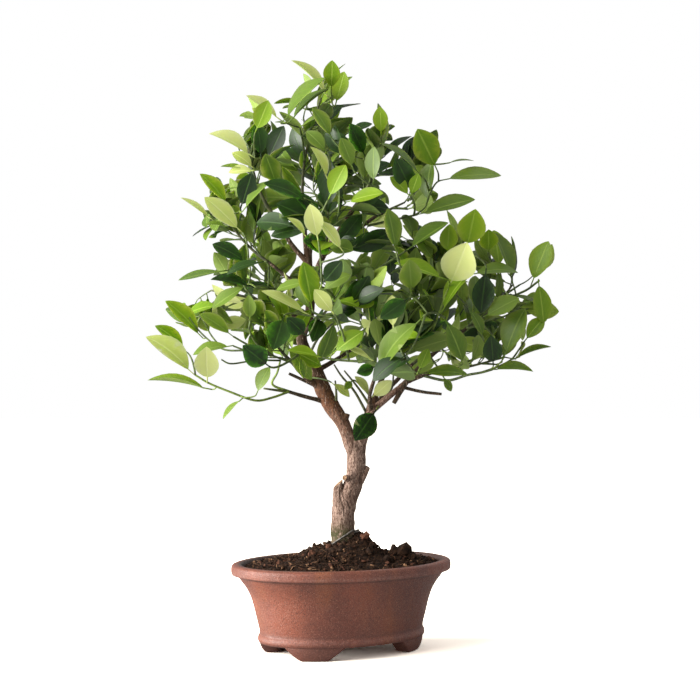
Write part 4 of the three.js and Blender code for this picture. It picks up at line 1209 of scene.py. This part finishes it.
# Where the crown is open to the sky as seen from the front: X, Z and radius. No leaf grows there.
SKY_GAPS = [
    [-129, 263, 33], [-144, 369, 26], [154, 271, 33], [-161, 452, 33], [115, 463, 33],
    [-124, 523, 33], [196, 293, 20], [-167, 283, 20], [183, 372, 20], [21, 532, 20],
    [-127, 492, 26], [-51, 568, 15], [47, 485, 7], [48, 370, 15],
    [-163, 355, 10], [-184, 351, 11], [-166, 383, 13],
]
# Narrower openings within the crown, and one below it, from which leaves of the rule are taken out
NARROW_GAPS = [[-38, 458, 15], [-66, 447, 10], [-61, 433, 10], [76, 262, 14], [14, 450, 8]]


def leaf_middle(leaf):
    """The middle of a leaf's blade."""
    root, direction, _, length = leaf[:4]
    return root + direction * BLADE_MIDDLE * length


def under_sky(leaf, gaps):
    """Whether a leaf's blade has its middle in one of the openings."""
    middle = leaf_middle(leaf)
    gaps = np.array(gaps)
    return bool(np.any(np.hypot(middle[0] - gaps[:, 0], middle[2] - gaps[:, 1]) < gaps[:, 2]))


# Finer twigs: the stem and each shoot branch again all along, every few centimetres and turned by the
# golden angle, and carry leaves by the same rule. They keep to the mass's own space too.
FINE_GROWTH = {
    "low_left": [40, 3], "left_lower": [14, 117], "left": [22, 79], "upper_left": [14, 106],
    "top_left": [14, 67], "top": [40, 69], "top_right": [22, 3], "upper_right": [40, 97],
    "right_mid": [14, 127], "right_far": [40, 8], "low_right": [22, 43], "right_front": [14, 58],
    "front_mid": [14, 85], "front_up": [14, 95], "back_left": [14, 32], "back_top": [14, 124],
    "back_right": [14, 91], "back_far_right": [22, 25],
}
# Where along a shoot the fine twigs begin, and how much of the rest of it they take up
FINE_FIRST = 0.22
FINE_RUN = 0.9
FINE_LENGTH = 30
FINE_OPENING = math.radians(52)
FINE_LIFT = 0.25
FINE_RADIUS = 0.75
FINE_LEAF = 0.9


def grow_fine(mass, shoots, spacing, seed):
    """Side twigs on each shoot, opened from its axis by the fine opening and lifted a little, with
    leaves that keep the mass's clearances at their corners and middles."""
    draw = draws_from(seed)
    fine = []
    sprays = []

    def fits(leaf):
        root, left, right, tip = solid_corners(*leaf)
        return not under_sky(leaf, SKY_GAPS) and mass.free(np.array([left, right, tip, (root + tip) / 2]))

    for shoot in shoots:
        phase = next(draw) * 2 * math.pi
        count = round(shoot.length / spacing)
        for k in range(count):
            along = FINE_FIRST + (1 - FINE_FIRST) * (k + next(draw)) / count * FINE_RUN
            size = FINE_LENGTH * varied(draw)
            start = shoot.at(along)
            axis = shoot.heading(along)
            side = square_to(axis, phase + k * GOLDEN_ANGLE)
            way = axis * math.cos(FINE_OPENING) + side * math.sin(FINE_OPENING)
            tip = start + unit(way + np.array([0, 0, FINE_LIFT])) * size
            twig = Shoot(start, unit(axis + way), tip, FINE_RADIUS, SHOOT_BARE, 2)
            if mass.free(twig.at([0.6, 1])):
                twig.carrier = shoot
                twig.carried_at = along
                fine.append(twig)
                sprays.append(grow_leaves(twig, fits, draw, FINE_LEAF))
    return fine, sprays


# The leaves that stand out in the picture, in the trunk's plane as seen from the front: X and Z of the
# stalk's foot, X and Z of the tip, the depth Y at which the leaf stands, and its width as seen
# Each leaf's kind follows how light or dark it looks, so the kinds carry painted light and shade along with
# the leaves' own greens
FRONT_LEAVES = {
    "pale": [
        [-13, 553, -50, 592, -10, 11], [-61, 530, -96, 556, -20, 10],
        [-88, 493, -133, 520, -30, 15], [-88, 482, -110, 500, -25, 12], [-87, 480, -114, 478, -35, 10],
        [-100, 418, -138, 453, -45, 19], [-130, 431, -162, 453, -20, 7], [-24, 410, -32, 445, -135, 18],
        [-14, 470, -30, 506, -95, 10], [1, 399, -23, 429, -138, 12], [-35, 413, -55, 433, -110, 7],
        [-147, 275, -195, 318, -60, 19], [-135, 268, -133, 304, -64, 24],
        [-8, 336, -28, 361, -138, 15], [-32, 335, -81, 360, -100, 9],
        [107, 364, 121, 404, -80, 34], [32, 289, 3, 306, -130, 5], [28, 254, 13, 275, -22, 8],
        [29, 253, 49, 270, -24, 14], [-11, 268, 8, 254, -20, 8],
    ],
    "fresh": [
        [-11, 560, -10, 586, -25, 17], [-87, 518, -73, 548, -35, 18],
        [-92, 480, -122, 486, -30, 5], [-113, 444, -142, 478, -35, 14],
        [-14, 451, 3, 487, -120, 18], [39, 515, 37, 542, -60, 15], [95, 480, 74, 517, -50, 27],
        [124, 402, 130, 438, -60, 28], [105, 396, 106, 425, -50, 18], [146, 398, 144, 418, -40, 19],
        [68, 454, 48, 475, -85, 12], [68, 454, 76, 476, -85, 12], [-139, 312, -177, 350, -50, 14],
        [-155, 298, -187, 326, -40, 12], [-130, 261, -195, 273, -50, 4],
        [-30, 341, -39, 389, -140, 19], [-20, 293, -55, 302, -120, 8], [189, 366, 206, 410, -10, 21],
        [196, 371, 201, 327, -20, 20], [182, 309, 202, 334, -20, 15], [105, 371, 52, 387, -90, 14],
        [97, 336, 131, 382, -85, 12], [76, 279, 86, 302, -110, 12],
        [-7, 545, 2, 579, -20, 17], [-10, 297, 21, 320, -130, 17],
    ],
    "mid": [
        [-95, 366, -130, 342, -60, 13], [-100, 439, -72, 473, -60, 11], [-61, 528, -15, 572, -40, 15],
        [-54, 528, -15, 565, -30, 9], [-66, 466, -75, 492, -75, 20], [-114, 424, -138, 426, -30, 5],
        [-15, 498, -36, 521, -90, 14], [-10, 512, -29, 544, -70, 14], [98, 470, 160, 482, -30, 15],
        [103, 487, 132, 492, -20, 3], [171, 366, 154, 420, -30, 15], [31, 466, 32, 504, -100, 15],
        [80, 474, 39, 513, -60, 9], [54, 398, 45, 442, -110, 17], [11, 481, -1, 513, -105, 15],
        [-109, 314, -142, 339, -70, 13], [-109, 305, -151, 298, -80, 10], [-92, 330, -93, 355, -110, 13],
        [-86, 256, -74, 285, -60, 13], [-100, 252, -122, 233, -60, 5], [-22, 359, 8, 378, -120, 13],
        [170, 291, 209, 305, -40, 6], [148, 281, 192, 282, -60, 9], [161, 292, 183, 342, -60, 22],
        [140, 333, 177, 353, -70, 18], [127, 376, 177, 383, -50, 13], [69, 358, 66, 388, -100, 22],
        [81, 334, 32, 284, -131, 20], [103, 332, 120, 290, -95, 20], [77, 277, 126, 279, -100, 12],
        [101, 274, 109, 259, -60, 8], [126, 343, 142, 316, -80, 11], [10, 270, 3, 262, -24, 8],
        [-116, 380, -165, 372, -40, 8], [75, 436, 133, 450, -50, 16], [64, 400, 106, 429, -70, 13],
        [84, 446, 90, 489, -40, 15],
    ],
    "deep": [
        [-81, 492, -85, 527, -25, 17], [-102, 441, -90, 477, -50, 19], [5, 517, 30, 528, -50, 8],
        [70, 458, 53, 490, -75, 20], [-95, 388, -130, 407, -50, 15], [-78, 389, -118, 380, -70, 9],
        [-88, 363, -132, 372, -70, 10], [-73, 284, -95, 303, -112, 22], [-58, 335, -68, 301, -105, 23],
        [-36, 315, -54, 332, -110, 17], [-20, 367, -1, 388, -127, 17], [144, 382, 138, 337, -65, 22],
        [64, 296, 30, 270, -141, 16], [34, 284, 15, 278, -120, 12], [67, 353, 38, 332, -130, 18],
        [151, 285, 147, 313, -70, 19], [34, 241, 13, 212, -16, 23],
    ],
}
# A leaf of the rule is left out within this margin round such a leaf, as seen, unless it stands at
# least this far behind it. One mass shows hardly any other leaves, so all its rule leaves are left out.
FRONT_MARGIN = 9
FRONT_CLEAR = 20
SPARSE = "low_left"
# The stems of the masses reach at least this share of their length
STEM_DRAWN = 0.3


def in_place(x, z, depth):
    """A point at a depth, which the viewer sees at X and Z in the trunk's plane."""
    nearer = (VIEW_DISTANCE + depth) / VIEW_DISTANCE
    return np.array([VIEW_SIDE + (x - VIEW_SIDE) * nearer, depth, VIEW_HEIGHT + (z - VIEW_HEIGHT) * nearer])


def front_leaf(foot_x, foot_z, tip_x, tip_z, depth, width):
    """A leaf from its places as seen. A leaf is at least twice as long as wide, so a short one points
    at the viewer, and a slim one is turned about its length until its face looks up."""
    foot = in_place(foot_x, foot_z, depth)
    seen = in_place(tip_x, tip_z, depth) - foot
    length = max(np.linalg.norm(seen), 2 * width)
    direction = unit(seen - [0, math.sqrt(max(length**2 - seen @ seen, 0)), 0])
    front = unit(np.array([0, -1, 0]) + direction * direction[1])
    side = np.cross(front, direction)
    turn = math.acos(max(2 * width / length, 0.1))
    return foot, direction, front * math.cos(turn) + side * math.copysign(math.sin(turn), side[2]), length


front_leaves = {kind: [front_leaf(*row) for row in rows] for kind, rows in FRONT_LEAVES.items()}
front_rows = np.array([row for rows in FRONT_LEAVES.values() for row in rows], float)
front_middle = (front_rows[:, :2] * 0.4 + front_rows[:, 2:4] * 0.6)
front_reach = np.linalg.norm(front_rows[:, 2:4] - front_rows[:, :2], axis=1) / 2 + FRONT_MARGIN
front_along = unit(front_rows[:, 2:4] - front_rows[:, :2])


def hides_front(leaf):
    """Whether a leaf's middle stands before one of these leaves or close behind it, within a margin
    round its blade."""
    middle = leaf_middle(leaf)
    off = middle[[0, 2]] - front_middle
    along = np.abs(np.sum(off * front_along, axis=1))
    across = np.abs(off[:, 0] * front_along[:, 1] - off[:, 1] * front_along[:, 0])
    over = (along < front_reach) & (across < front_rows[:, 5] / 2 + FRONT_MARGIN)
    return bool(np.any(over & (middle[1] < front_rows[:, 4] + FRONT_CLEAR)))


all_gaps = SKY_GAPS + NARROW_GAPS
grown = []
for mass in masses:
    shoots, sprays = grow_mass(mass)
    fine, fine_sprays = grow_fine(mass, shoots, *FINE_GROWTH[mass.name])
    sprays = [
        [leaf for leaf in spray
         if mass.name != SPARSE and not under_sky(leaf, all_gaps) and not hides_front(leaf)]
        for spray in sprays + fine_sprays
    ]
    grown.append((mass, shoots + fine, sprays))


def bearing_share(shoot, spray, twigs):
    """The share of a shoot's length up to which it carries leaves, or fine twigs with leaves."""
    shares = [twig.carried_at for twig in twigs if twig.carrier is shoot]
    if spray:
        shares.append(1 - off_tip(min(leaf[4] for leaf in spray)) / shoot.length)
    return max(shares, default=0)


# The twigs that are drawn: the mass, the twig's order in it, the twig and the share up to which it bears
bearing = []
for mass, shoots, sprays in grown:
    fine_twigs = [shoot for shoot, spray in zip(shoots, sprays) if spray and shoot.carrier]
    for order, (shoot, spray) in enumerate(zip(shoots, sprays)):
        end = max(bearing_share(shoot, spray, fine_twigs), STEM_DRAWN if order == 0 else 0)
        if end > 0:
            bearing.append((mass, order, shoot, end))

# Twigs that show against the sky at the crown's sides, as X and Z seen from the front and the depth Y,
# with their radius at the foot and whether their bark is young
EDGE_TWIGS = [
    [[[-53, 259, -12], [-70, 253, -28], [-87, 250, -44], [-112, 258.5, -54], [-134, 267.6, -58],
      [-147, 275.5, -60]], 1.3, True],
    [[[-53, 259, -12], [-70, 266.4, -18], [-65, 278, -24], [-62, 290, -32]], 1.3, True],
    [[[-48, 287, -20], [-70, 295, -46], [-95, 306, -66], [-109, 314, -70]], 1.2, False],
    [[[-70, 295, -46], [-84, 297, -66], [-97, 300, -76], [-109, 304.5, -80]], 1.1, False],
    [[[-97, 300, -76], [-118, 301, -62], [-133, 310, -54], [-146, 323, -50], [-153, 333, -48]], 1.0, False],
    [[[-120, 302, -61], [-131, 315, -54], [-138, 328, -52], [-143, 336, -50]], 0.9, False],
    [[[-62, 290, -32], [-88, 290, -52], [-113, 287, -62], [-121, 291, -62]], 1.0, False],
    [[[-70, 295, -46], [-88, 310, -95], [-93, 322, -108], [-92, 330, -110]], 1.1, False],
    [[[124, 322, 0], [140, 338, -8], [158, 349, -12], [172, 355, -14], [185, 361, -14], [193, 367, -16],
      [197, 370, -18]], 1.4, False],
    [[[124, 322, 0], [134, 325, -16], [142, 329, -30], [158, 333, -38], [166, 336, -42],
      [178, 344, -40]], 1.2, False],
    [[[101, 281, -25], [120, 287, -46], [133, 292, -58], [143, 297, -64], [151, 306, -68],
      [152, 314, -68]], 1.3, True],
    [[[80, 275, -21], [105, 270, -30], [125, 275.5, -42], [139, 278, -52], [150, 281, -58]], 1.5, False],
    [[[139, 278, -52], [156, 284, -50], [169, 291, -42], [176, 300, -30], [182, 309, -22]], 1.1, False],
    [[[62, 312, 2], [74, 300, -40], [88, 316, -70], [98, 341, -80], [105, 360, -82]], 1.3, True],
]
# The twig of a single leaf: its radius, how that grows with its length, and below which it is young
FRONT_TWIG_RADIUS = 0.62
FRONT_TWIG_GROWS = 0.014
YOUNG_BELOW = 0.85
# It leaves from behind the leaf rather than from beside it, the more so the larger the first of these
# is, and bends into the leaf's direction over this share of its length
FROM_BEHIND = 0.8
BEND_SHARE = 0.25
edge_twigs = []
for rows, radius, young in EDGE_TWIGS:
    line = through(np.array([in_place(*row) for row in rows]))(np.linspace(0, 1, 26))
    edge_twigs.append((line, radius, young))

# Each of these leaves stands on a twig that leaves the nearest limb, shoot or such twig behind it
twig_places = [limb["at"](np.linspace(0.05, 1, 40)) for limb in all_limbs]
twig_places += [shoot.at(np.linspace(0.1, 1, 12) * end) for _, _, shoot, end in bearing]
twig_places = np.vstack(twig_places + [line for line, _, _ in edge_twigs])
front_twigs = edge_twigs[:]
waiting = [leaf for leaves in front_leaves.values() for leaf in leaves]
waiting.sort(key=lambda leaf: np.linalg.norm(twig_places - leaf[0], axis=1).min())
for foot, direction, _, _ in waiting:
    way = foot - twig_places
    away = np.linalg.norm(way, axis=1) + 1e-6
    nearest = np.argmin(away * (1 + FROM_BEHIND - FROM_BEHIND * (way @ direction) / away))
    start = twig_places[nearest]
    bend = foot - direction * BEND_SHARE * away[nearest]
    t = np.linspace(0, 1, 9)[:, None]
    middle = (1 - t) ** 2 * start + 2 * t * (1 - t) * bend + t**2 * foot
    radius = FRONT_TWIG_RADIUS + FRONT_TWIG_GROWS * away[nearest]
    front_twigs.append((middle, radius, radius < YOUNG_BELOW))
    twig_places = np.vstack([twig_places, middle[2:8]])

# Bare dark twigs between the leaves round the fork
BARE_TWIGS = [
    [[24, -5, 238], [11.7, -10, 260], [-1, -15, 275], [-8, -20, 286]],
    [[27, -7, 246], [15.7, -12, 263], [2, -18, 280]],
    [[36, -8, 244], [49, -10, 262], [51, -12, 278]],
    [[-6, -4, 250], [-6, -8, 258], [-7, -12, 270]],
    [[-33, 2, 296], [-24, -10, 312], [-6, -20, 330]],
]

# Leaf kinds, dealt out by spray: three colours of the upper face, in its shades and its veins. The
# underside is between them and one paler tint.
LEAF_KINDS = {
    "deep": [(16, 34, 8), (32, 56, 13), (50, 78, 28)],
    "mid": [(74, 100, 28), (102, 126, 42), (118, 140, 58)],
    "fresh": [(94, 128, 12), (122, 152, 30), (148, 174, 62)],
    # The pale kind is partly painted light: leaves lit through, paler than their own green
    "pale": [(180, 194, 104), (206, 214, 138), (210, 218, 146)],
}
UNDER_TINT = (156, 172, 96)
# The kinds' shares at the middle of the crown and at its outside; the many deep leaves at the middle are
# partly painted shade, as the middle of the crown lies in shade
KIND_SHARES_INSIDE = [0.62, 0.27, 0.1, 0.01]
KIND_SHARES_OUTSIDE = [0.32, 0.37, 0.26, 0.05]
CROWN_MIDDLE = [0, 0, 390]
CROWN_REACH = [200, 150, 190]
# The share of that reach at which the outside begins, and over how much more it comes in fully
OUTSIDE_FROM = 0.3
OUTSIDE_OVER = 0.6
# Leaves of the first orders are at the outside of the next paler kind as often as this
PALER_ORDERS = 2
PALER_CHANCE = 0.3
BLADE_STATIONS = np.array([0, 0.09, 0.15, 0.2, 0.28, 0.38, 0.49, 0.6, 0.71, 0.81, 0.9, 0.96, 1.0])
BLADE_WIDTH = 0.42
WIDTH_VARIES = (0.9, 1.2)
FRONT_WIDTH = 0.5
STALK_SHARE = 0.15
STALK_HALF = 0.65
BLADE_THICK = 0.2
# A blade's fold, arch, droop, twist and wave and the wave's phase, each from and to
BLADE_BENDS = [(0.12, 0.42), (0.0, 0.05), (-0.02, 0.12), (-0.1, 0.1), (0.0, 0.03), (0, 6.3)]
# The corners round a leaf: how far across each lies, and whether it is on the upper face or the lower
LEAF_CORNERS = np.array([[-1, 0, 1, 0], [0, 1, 0, -1]])


def leaf_shapes(leaves, bends):
    """Point (u, c) of each leaf: root + u L direction, across by the half width times the corner's
    share, lifted to a shallow fold, arched and drooping along the length and waved at the edges.
    The half width is sin(pi s^1.04)^(0.66 + 0.14 s) of its greatest, s running along the blade."""
    root, direction, face = (np.array([leaf[k] for leaf in leaves])[:, None, None] for k in range(3))
    length = np.array([leaf[3] for leaf in leaves])[:, None, None]
    side = np.cross(face, direction)
    u = BLADE_STATIONS[None, :, None]
    s = np.clip((u - STALK_SHARE) / (1 - STALK_SHARE), 0, 1)
    blade = np.sin(math.pi * s**1.04).clip(0) ** (0.66 + 0.14 * s)
    wide, fold, arch, droop, twist, wave, phase = (bends[:, k, None, None] for k in range(7))
    half = 0.5 * BLADE_WIDTH * length * blade * wide
    across = LEAF_CORNERS[0][None, None, :]
    upper = LEAF_CORNERS[1][None, None, :]
    on_stalk = np.clip(1 - s * 14, 0, 1)
    rim = half * across + STALK_HALF * on_stalk * across
    thick = upper * (BLADE_THICK * (1 - on_stalk) * (blade > 0) + STALK_HALF * on_stalk)
    thick = thick * np.where(u >= 1, 0.2, 1)
    lift = fold * half * np.abs(across) + thick
    lift = lift + length * (arch * 4 * s * (1 - s) - droop * s**2)
    lift = lift + wave * half * np.abs(across) * np.sin(phase + 3.2 * math.pi * s + across)
    lift = lift + twist * half * across * s
    place = root + direction * (u * length)[..., None] * (1 - 0.25 * droop * s**2)[..., None]
    return place + side * rim[..., None] + face * lift[..., None]


def leaf_finish(name, shade, tint, vein, rough):
    """A face of a blade, between two greens by what the leaf carries as shade, with a midrib and
    slanting side veins by the UV map, which runs along and across the blade."""
    finish, tree, shader = new_finish(name)
    uv = add_node(tree, "ShaderNodeUVMap", uv_map="blade").outputs["UV"]
    parts = add_node(tree, "ShaderNodeSeparateXYZ", {"Vector": uv}).outputs
    off = reckoned(tree, "ABSOLUTE", reckoned(tree, "SUBTRACT", parts["Y"], 0.5))
    rib = ranged(tree, off, 0.015, 0.05, 1, 0)
    run = reckoned(tree, "MULTIPLY_ADD", parts["X"], 13.0, reckoned(tree, "MULTIPLY", off, 9.0))
    side_vein = ranged(tree, reckoned(tree, "PINGPONG", run, 1.0), 0.0, 0.16, 0.22, 0)
    colour = blend_colours(tree, carried(tree, "shade"), shade, tint)
    for mask, over in ((mottled(tree, 130, 0.45, 1.3), tint), (side_vein, vein), (rib, vein)):
        colour = blend_colours(tree, mask, colour, over)
    feed(tree, shader, {
        "Base Color": colour, "Roughness": rough, "Specular IOR Level": 0.32, "Subsurface Weight": 0.2,
        "Subsurface Radius": (0.7, 1.0, 0.25), "Subsurface Scale": 2 * MM,
    })
    relief(tree, shader, reckoned(tree, "MAXIMUM", side_vein, rib), -0.12)
    return finish


leaf_finishes = {}
for kind, colours in LEAF_KINDS.items():
    below = [tuple(int(0.58 * a + 0.42 * b) for a, b in zip(colour, UNDER_TINT)) for colour in colours]
    leaf_finishes[kind] = [
        leaf_finish(f"leaf_{kind}_upper", *colours, 0.42),
        leaf_finish(f"leaf_{kind}_under", *below, 0.62),
    ]

leaf_chance = np.random.default_rng(11)
by_kind = {kind: [] for kind in LEAF_KINDS}
kind_names = list(LEAF_KINDS)
for mass, shoots, sprays in grown:
    for spray in sprays:
        if not spray:
            continue
        # Nearer the crown's middle, the darker kinds, partly as painted shade
        outside = np.linalg.norm((spray[0][0] - CROWN_MIDDLE) / CROWN_REACH)
        outside = np.clip((outside - OUTSIDE_FROM) / OUTSIDE_OVER, 0, 1)
        shares = np.array(KIND_SHARES_INSIDE) * (1 - outside) + np.array(KIND_SHARES_OUTSIDE) * outside
        spray_kind = leaf_chance.choice(len(kind_names), p=shares)
        for leaf in spray:
            younger = leaf[4] < PALER_ORDERS and leaf_chance.uniform() < PALER_CHANCE * outside
            kind = kind_names[min(spray_kind + younger, len(kind_names) - 1)]
            by_kind[kind].append((*leaf[:4], leaf_chance.uniform(*WIDTH_VARIES)))
for kind, leaves in front_leaves.items():
    by_kind[kind] += [(*leaf, FRONT_WIDTH / BLADE_WIDTH) for leaf in leaves]

STATIONS = len(BLADE_STATIONS)
leaf_quads = capped_quads(STATIONS, 4)
for kind, leaves in by_kind.items():
    count = len(leaves)
    bends = [[leaf[4] for leaf in leaves], *(leaf_chance.uniform(*span, count) for span in BLADE_BENDS)]
    bends = np.stack(bends, axis=1)
    shapes = leaf_shapes(leaves, bends)
    points, faces = many_like(shapes.reshape(count, -1, 3), leaf_quads)
    stands_for = [f"{name}_leaves" for name in MASSES] if kind == "deep" else []
    piece = make_piece(f"leaves_{kind}", points, faces, leaf_finishes[kind], stands_for, "leaf")
    piece.cycles.shadow_terminator_geometry_offset = 0.3
    piece.cycles.shadow_terminator_offset = 0.2
    give_values(piece, "shade", np.repeat(leaf_chance.uniform(0, 1, count), STATIONS * 4))
    mesh = piece.data
    corner_points = np.zeros(len(mesh.loops), int)
    mesh.loops.foreach_get("vertex_index", corner_points)
    slot_in_leaf = corner_points % (STATIONS * 4)
    across = (LEAF_CORNERS[0][slot_in_leaf % 4] + 1) / 2
    uv = np.stack([BLADE_STATIONS[slot_in_leaf // 4], across], axis=-1)
    layer = mesh.uv_layers.new(name="blade")
    layer.data.foreach_set("uv", uv.astype(np.float32).ravel())
    below = np.any(corner_points.reshape(-1, 4) % 4 == 3, axis=1)
    mesh.polygons.foreach_set("material_index", below.astype(np.int32))
    # The blade's edge is crisp, so that each face of the leaf is shaded by itself
    edge_ends = np.zeros(len(mesh.edges) * 2, int)
    mesh.edges.foreach_get("vertices", edge_ends)
    edge_ends = edge_ends.reshape(-1, 2)
    at_rim = (edge_ends[:, 0] % 4 == edge_ends[:, 1] % 4) & (edge_ends[:, 0] % 2 == 0)
    mesh.attributes.new("sharp_edge", "BOOLEAN", "EDGE").data.foreach_set("value", at_rim)


def twig_skin(name, dark, light):
    """Smooth young bark between two greens."""
    finish, tree, shader = two_toned(name, 260, dark, light, 0.6)
    relief(tree, shader, mottled(tree, 900, 0.3, 0.7, 2), 0.1)
    return finish


# How the twigs' tubes are drawn: their steps, the radius at a stem's end and how much the others taper
TWIG_STEP = 5
STEM_END_RADIUS = 0.9
SHOOT_TAPERS = 0.45
FRONT_TWIG_END = 0.75
BARE_TWIG_RADII = (1.5, 0.8)
twig_sets = {
    "stems": ([], twig_skin("stem_bark", (52, 56, 32), (88, 92, 50))),
    "shoots": ([], twig_skin("green_twig", (58, 72, 32), (96, 114, 52))),
    "sprigs": ([], twig_skin("young_twig", (92, 114, 36), (140, 162, 70))),
}
for mass, order, shoot, end in bearing:
    steps = max(6, int(shoot.length * end / TWIG_STEP))
    along = np.linspace(0, end, steps)
    thick = shoot.radius * (1 - SHOOT_TAPERS * along)
    if order == 0:
        thick = np.linspace(mass.stem_radius, STEM_END_RADIUS, steps)
    tube = tube_round(shoot.at(along), thick, 7 if order else 10)
    twig_sets["shoots" if order else "stems"][0].append(tube)
for middle, radius, young in front_twigs:
    tube = tube_round(middle, radius * np.linspace(1, FRONT_TWIG_END, len(middle)), 7)
    twig_sets["sprigs" if young else "shoots"][0].append(tube)
for points in BARE_TWIGS:
    tube = tube_round(through(points)(np.linspace(0, 1, 14)), np.linspace(*BARE_TWIG_RADII, 14), 8)
    twig_sets["stems"][0].append(tube)
for kind, (tubes, finish) in twig_sets.items():
    make_piece(f"twigs_{kind}", *joined(tubes), [finish], [], "leaf")


# The floor is plain and white, and soft light comes from the viewer's upper left. The camera sees floor
# and background as an exposure for the tree leaves them, while less of their light reaches the tree.
FLOOR_SEEN = (2.7, 2.52, 2.28, 1)
FLOOR_LIGHT = (0.5, 0.5, 0.5, 1)
BACKGROUND_LIGHT = 0.5

bpy.ops.mesh.primitive_plane_add(size=12, location=(0, 0, 0))
floor = bpy.context.object
floor.name = "floor"
floor_finish = bpy.data.materials.new("floor_white")
floor_finish.use_nodes = True
floor_tree = floor_finish.node_tree
floor_tree.nodes.clear()
seen = floor_tree.nodes.new("ShaderNodeLightPath").outputs["Is Camera Ray"]
floor_mix = add_node(floor_tree, "ShaderNodeMixShader", {0: seen})
for socket, colour in ((1, FLOOR_LIGHT), (2, FLOOR_SEEN)):
    matt = add_node(floor_tree, "ShaderNodeBsdfDiffuse", {"Color": colour})
    floor_tree.links.new(matt.outputs["BSDF"], floor_mix.inputs[socket])
floor_end = floor_tree.nodes.new("ShaderNodeOutputMaterial").inputs["Surface"]
floor_tree.links.new(floor_mix.outputs["Shader"], floor_end)
floor.data.materials.append(floor_finish)

world = bpy.data.worlds.new("studio")
bpy.context.scene.world = world
world.use_nodes = True
background = world.node_tree.nodes["Background"]
background.inputs["Color"].default_value = (1, 1, 1, 1)
seen = world.node_tree.nodes.new("ShaderNodeLightPath").outputs["Is Camera Ray"]
strength = ranged(world.node_tree, seen, 0, 1, BACKGROUND_LIGHT, 1.0)
world.node_tree.links.new(strength, background.inputs["Strength"])
bpy.context.scene.view_settings.view_transform = "Standard"


def soft_light(name, place, size, watts, colour):
    """A square lamp of a size in metres that looks at the middle of the crown."""
    lamp = bpy.data.lights.new(name, "AREA")
    lamp.size = size
    lamp.energy = watts
    lamp.color = colour
    holder = bpy.data.objects.new(name, lamp)
    holder.location = place
    aim = np.array([0, 0, 0.3]) - np.array(place)
    level = math.hypot(aim[0], aim[1])
    holder.rotation_euler = (math.atan2(level, -aim[2]), 0, math.atan2(-aim[0], aim[1]))
    bpy.context.collection.objects.link(holder)


soft_light("key", (-1.95, -1.2, 1.45), 2.2, 96, (1, 0.985, 0.95))
soft_light("side", (-2.2, -0.3, 0.4), 1.0, 92, (1, 0.985, 0.95))
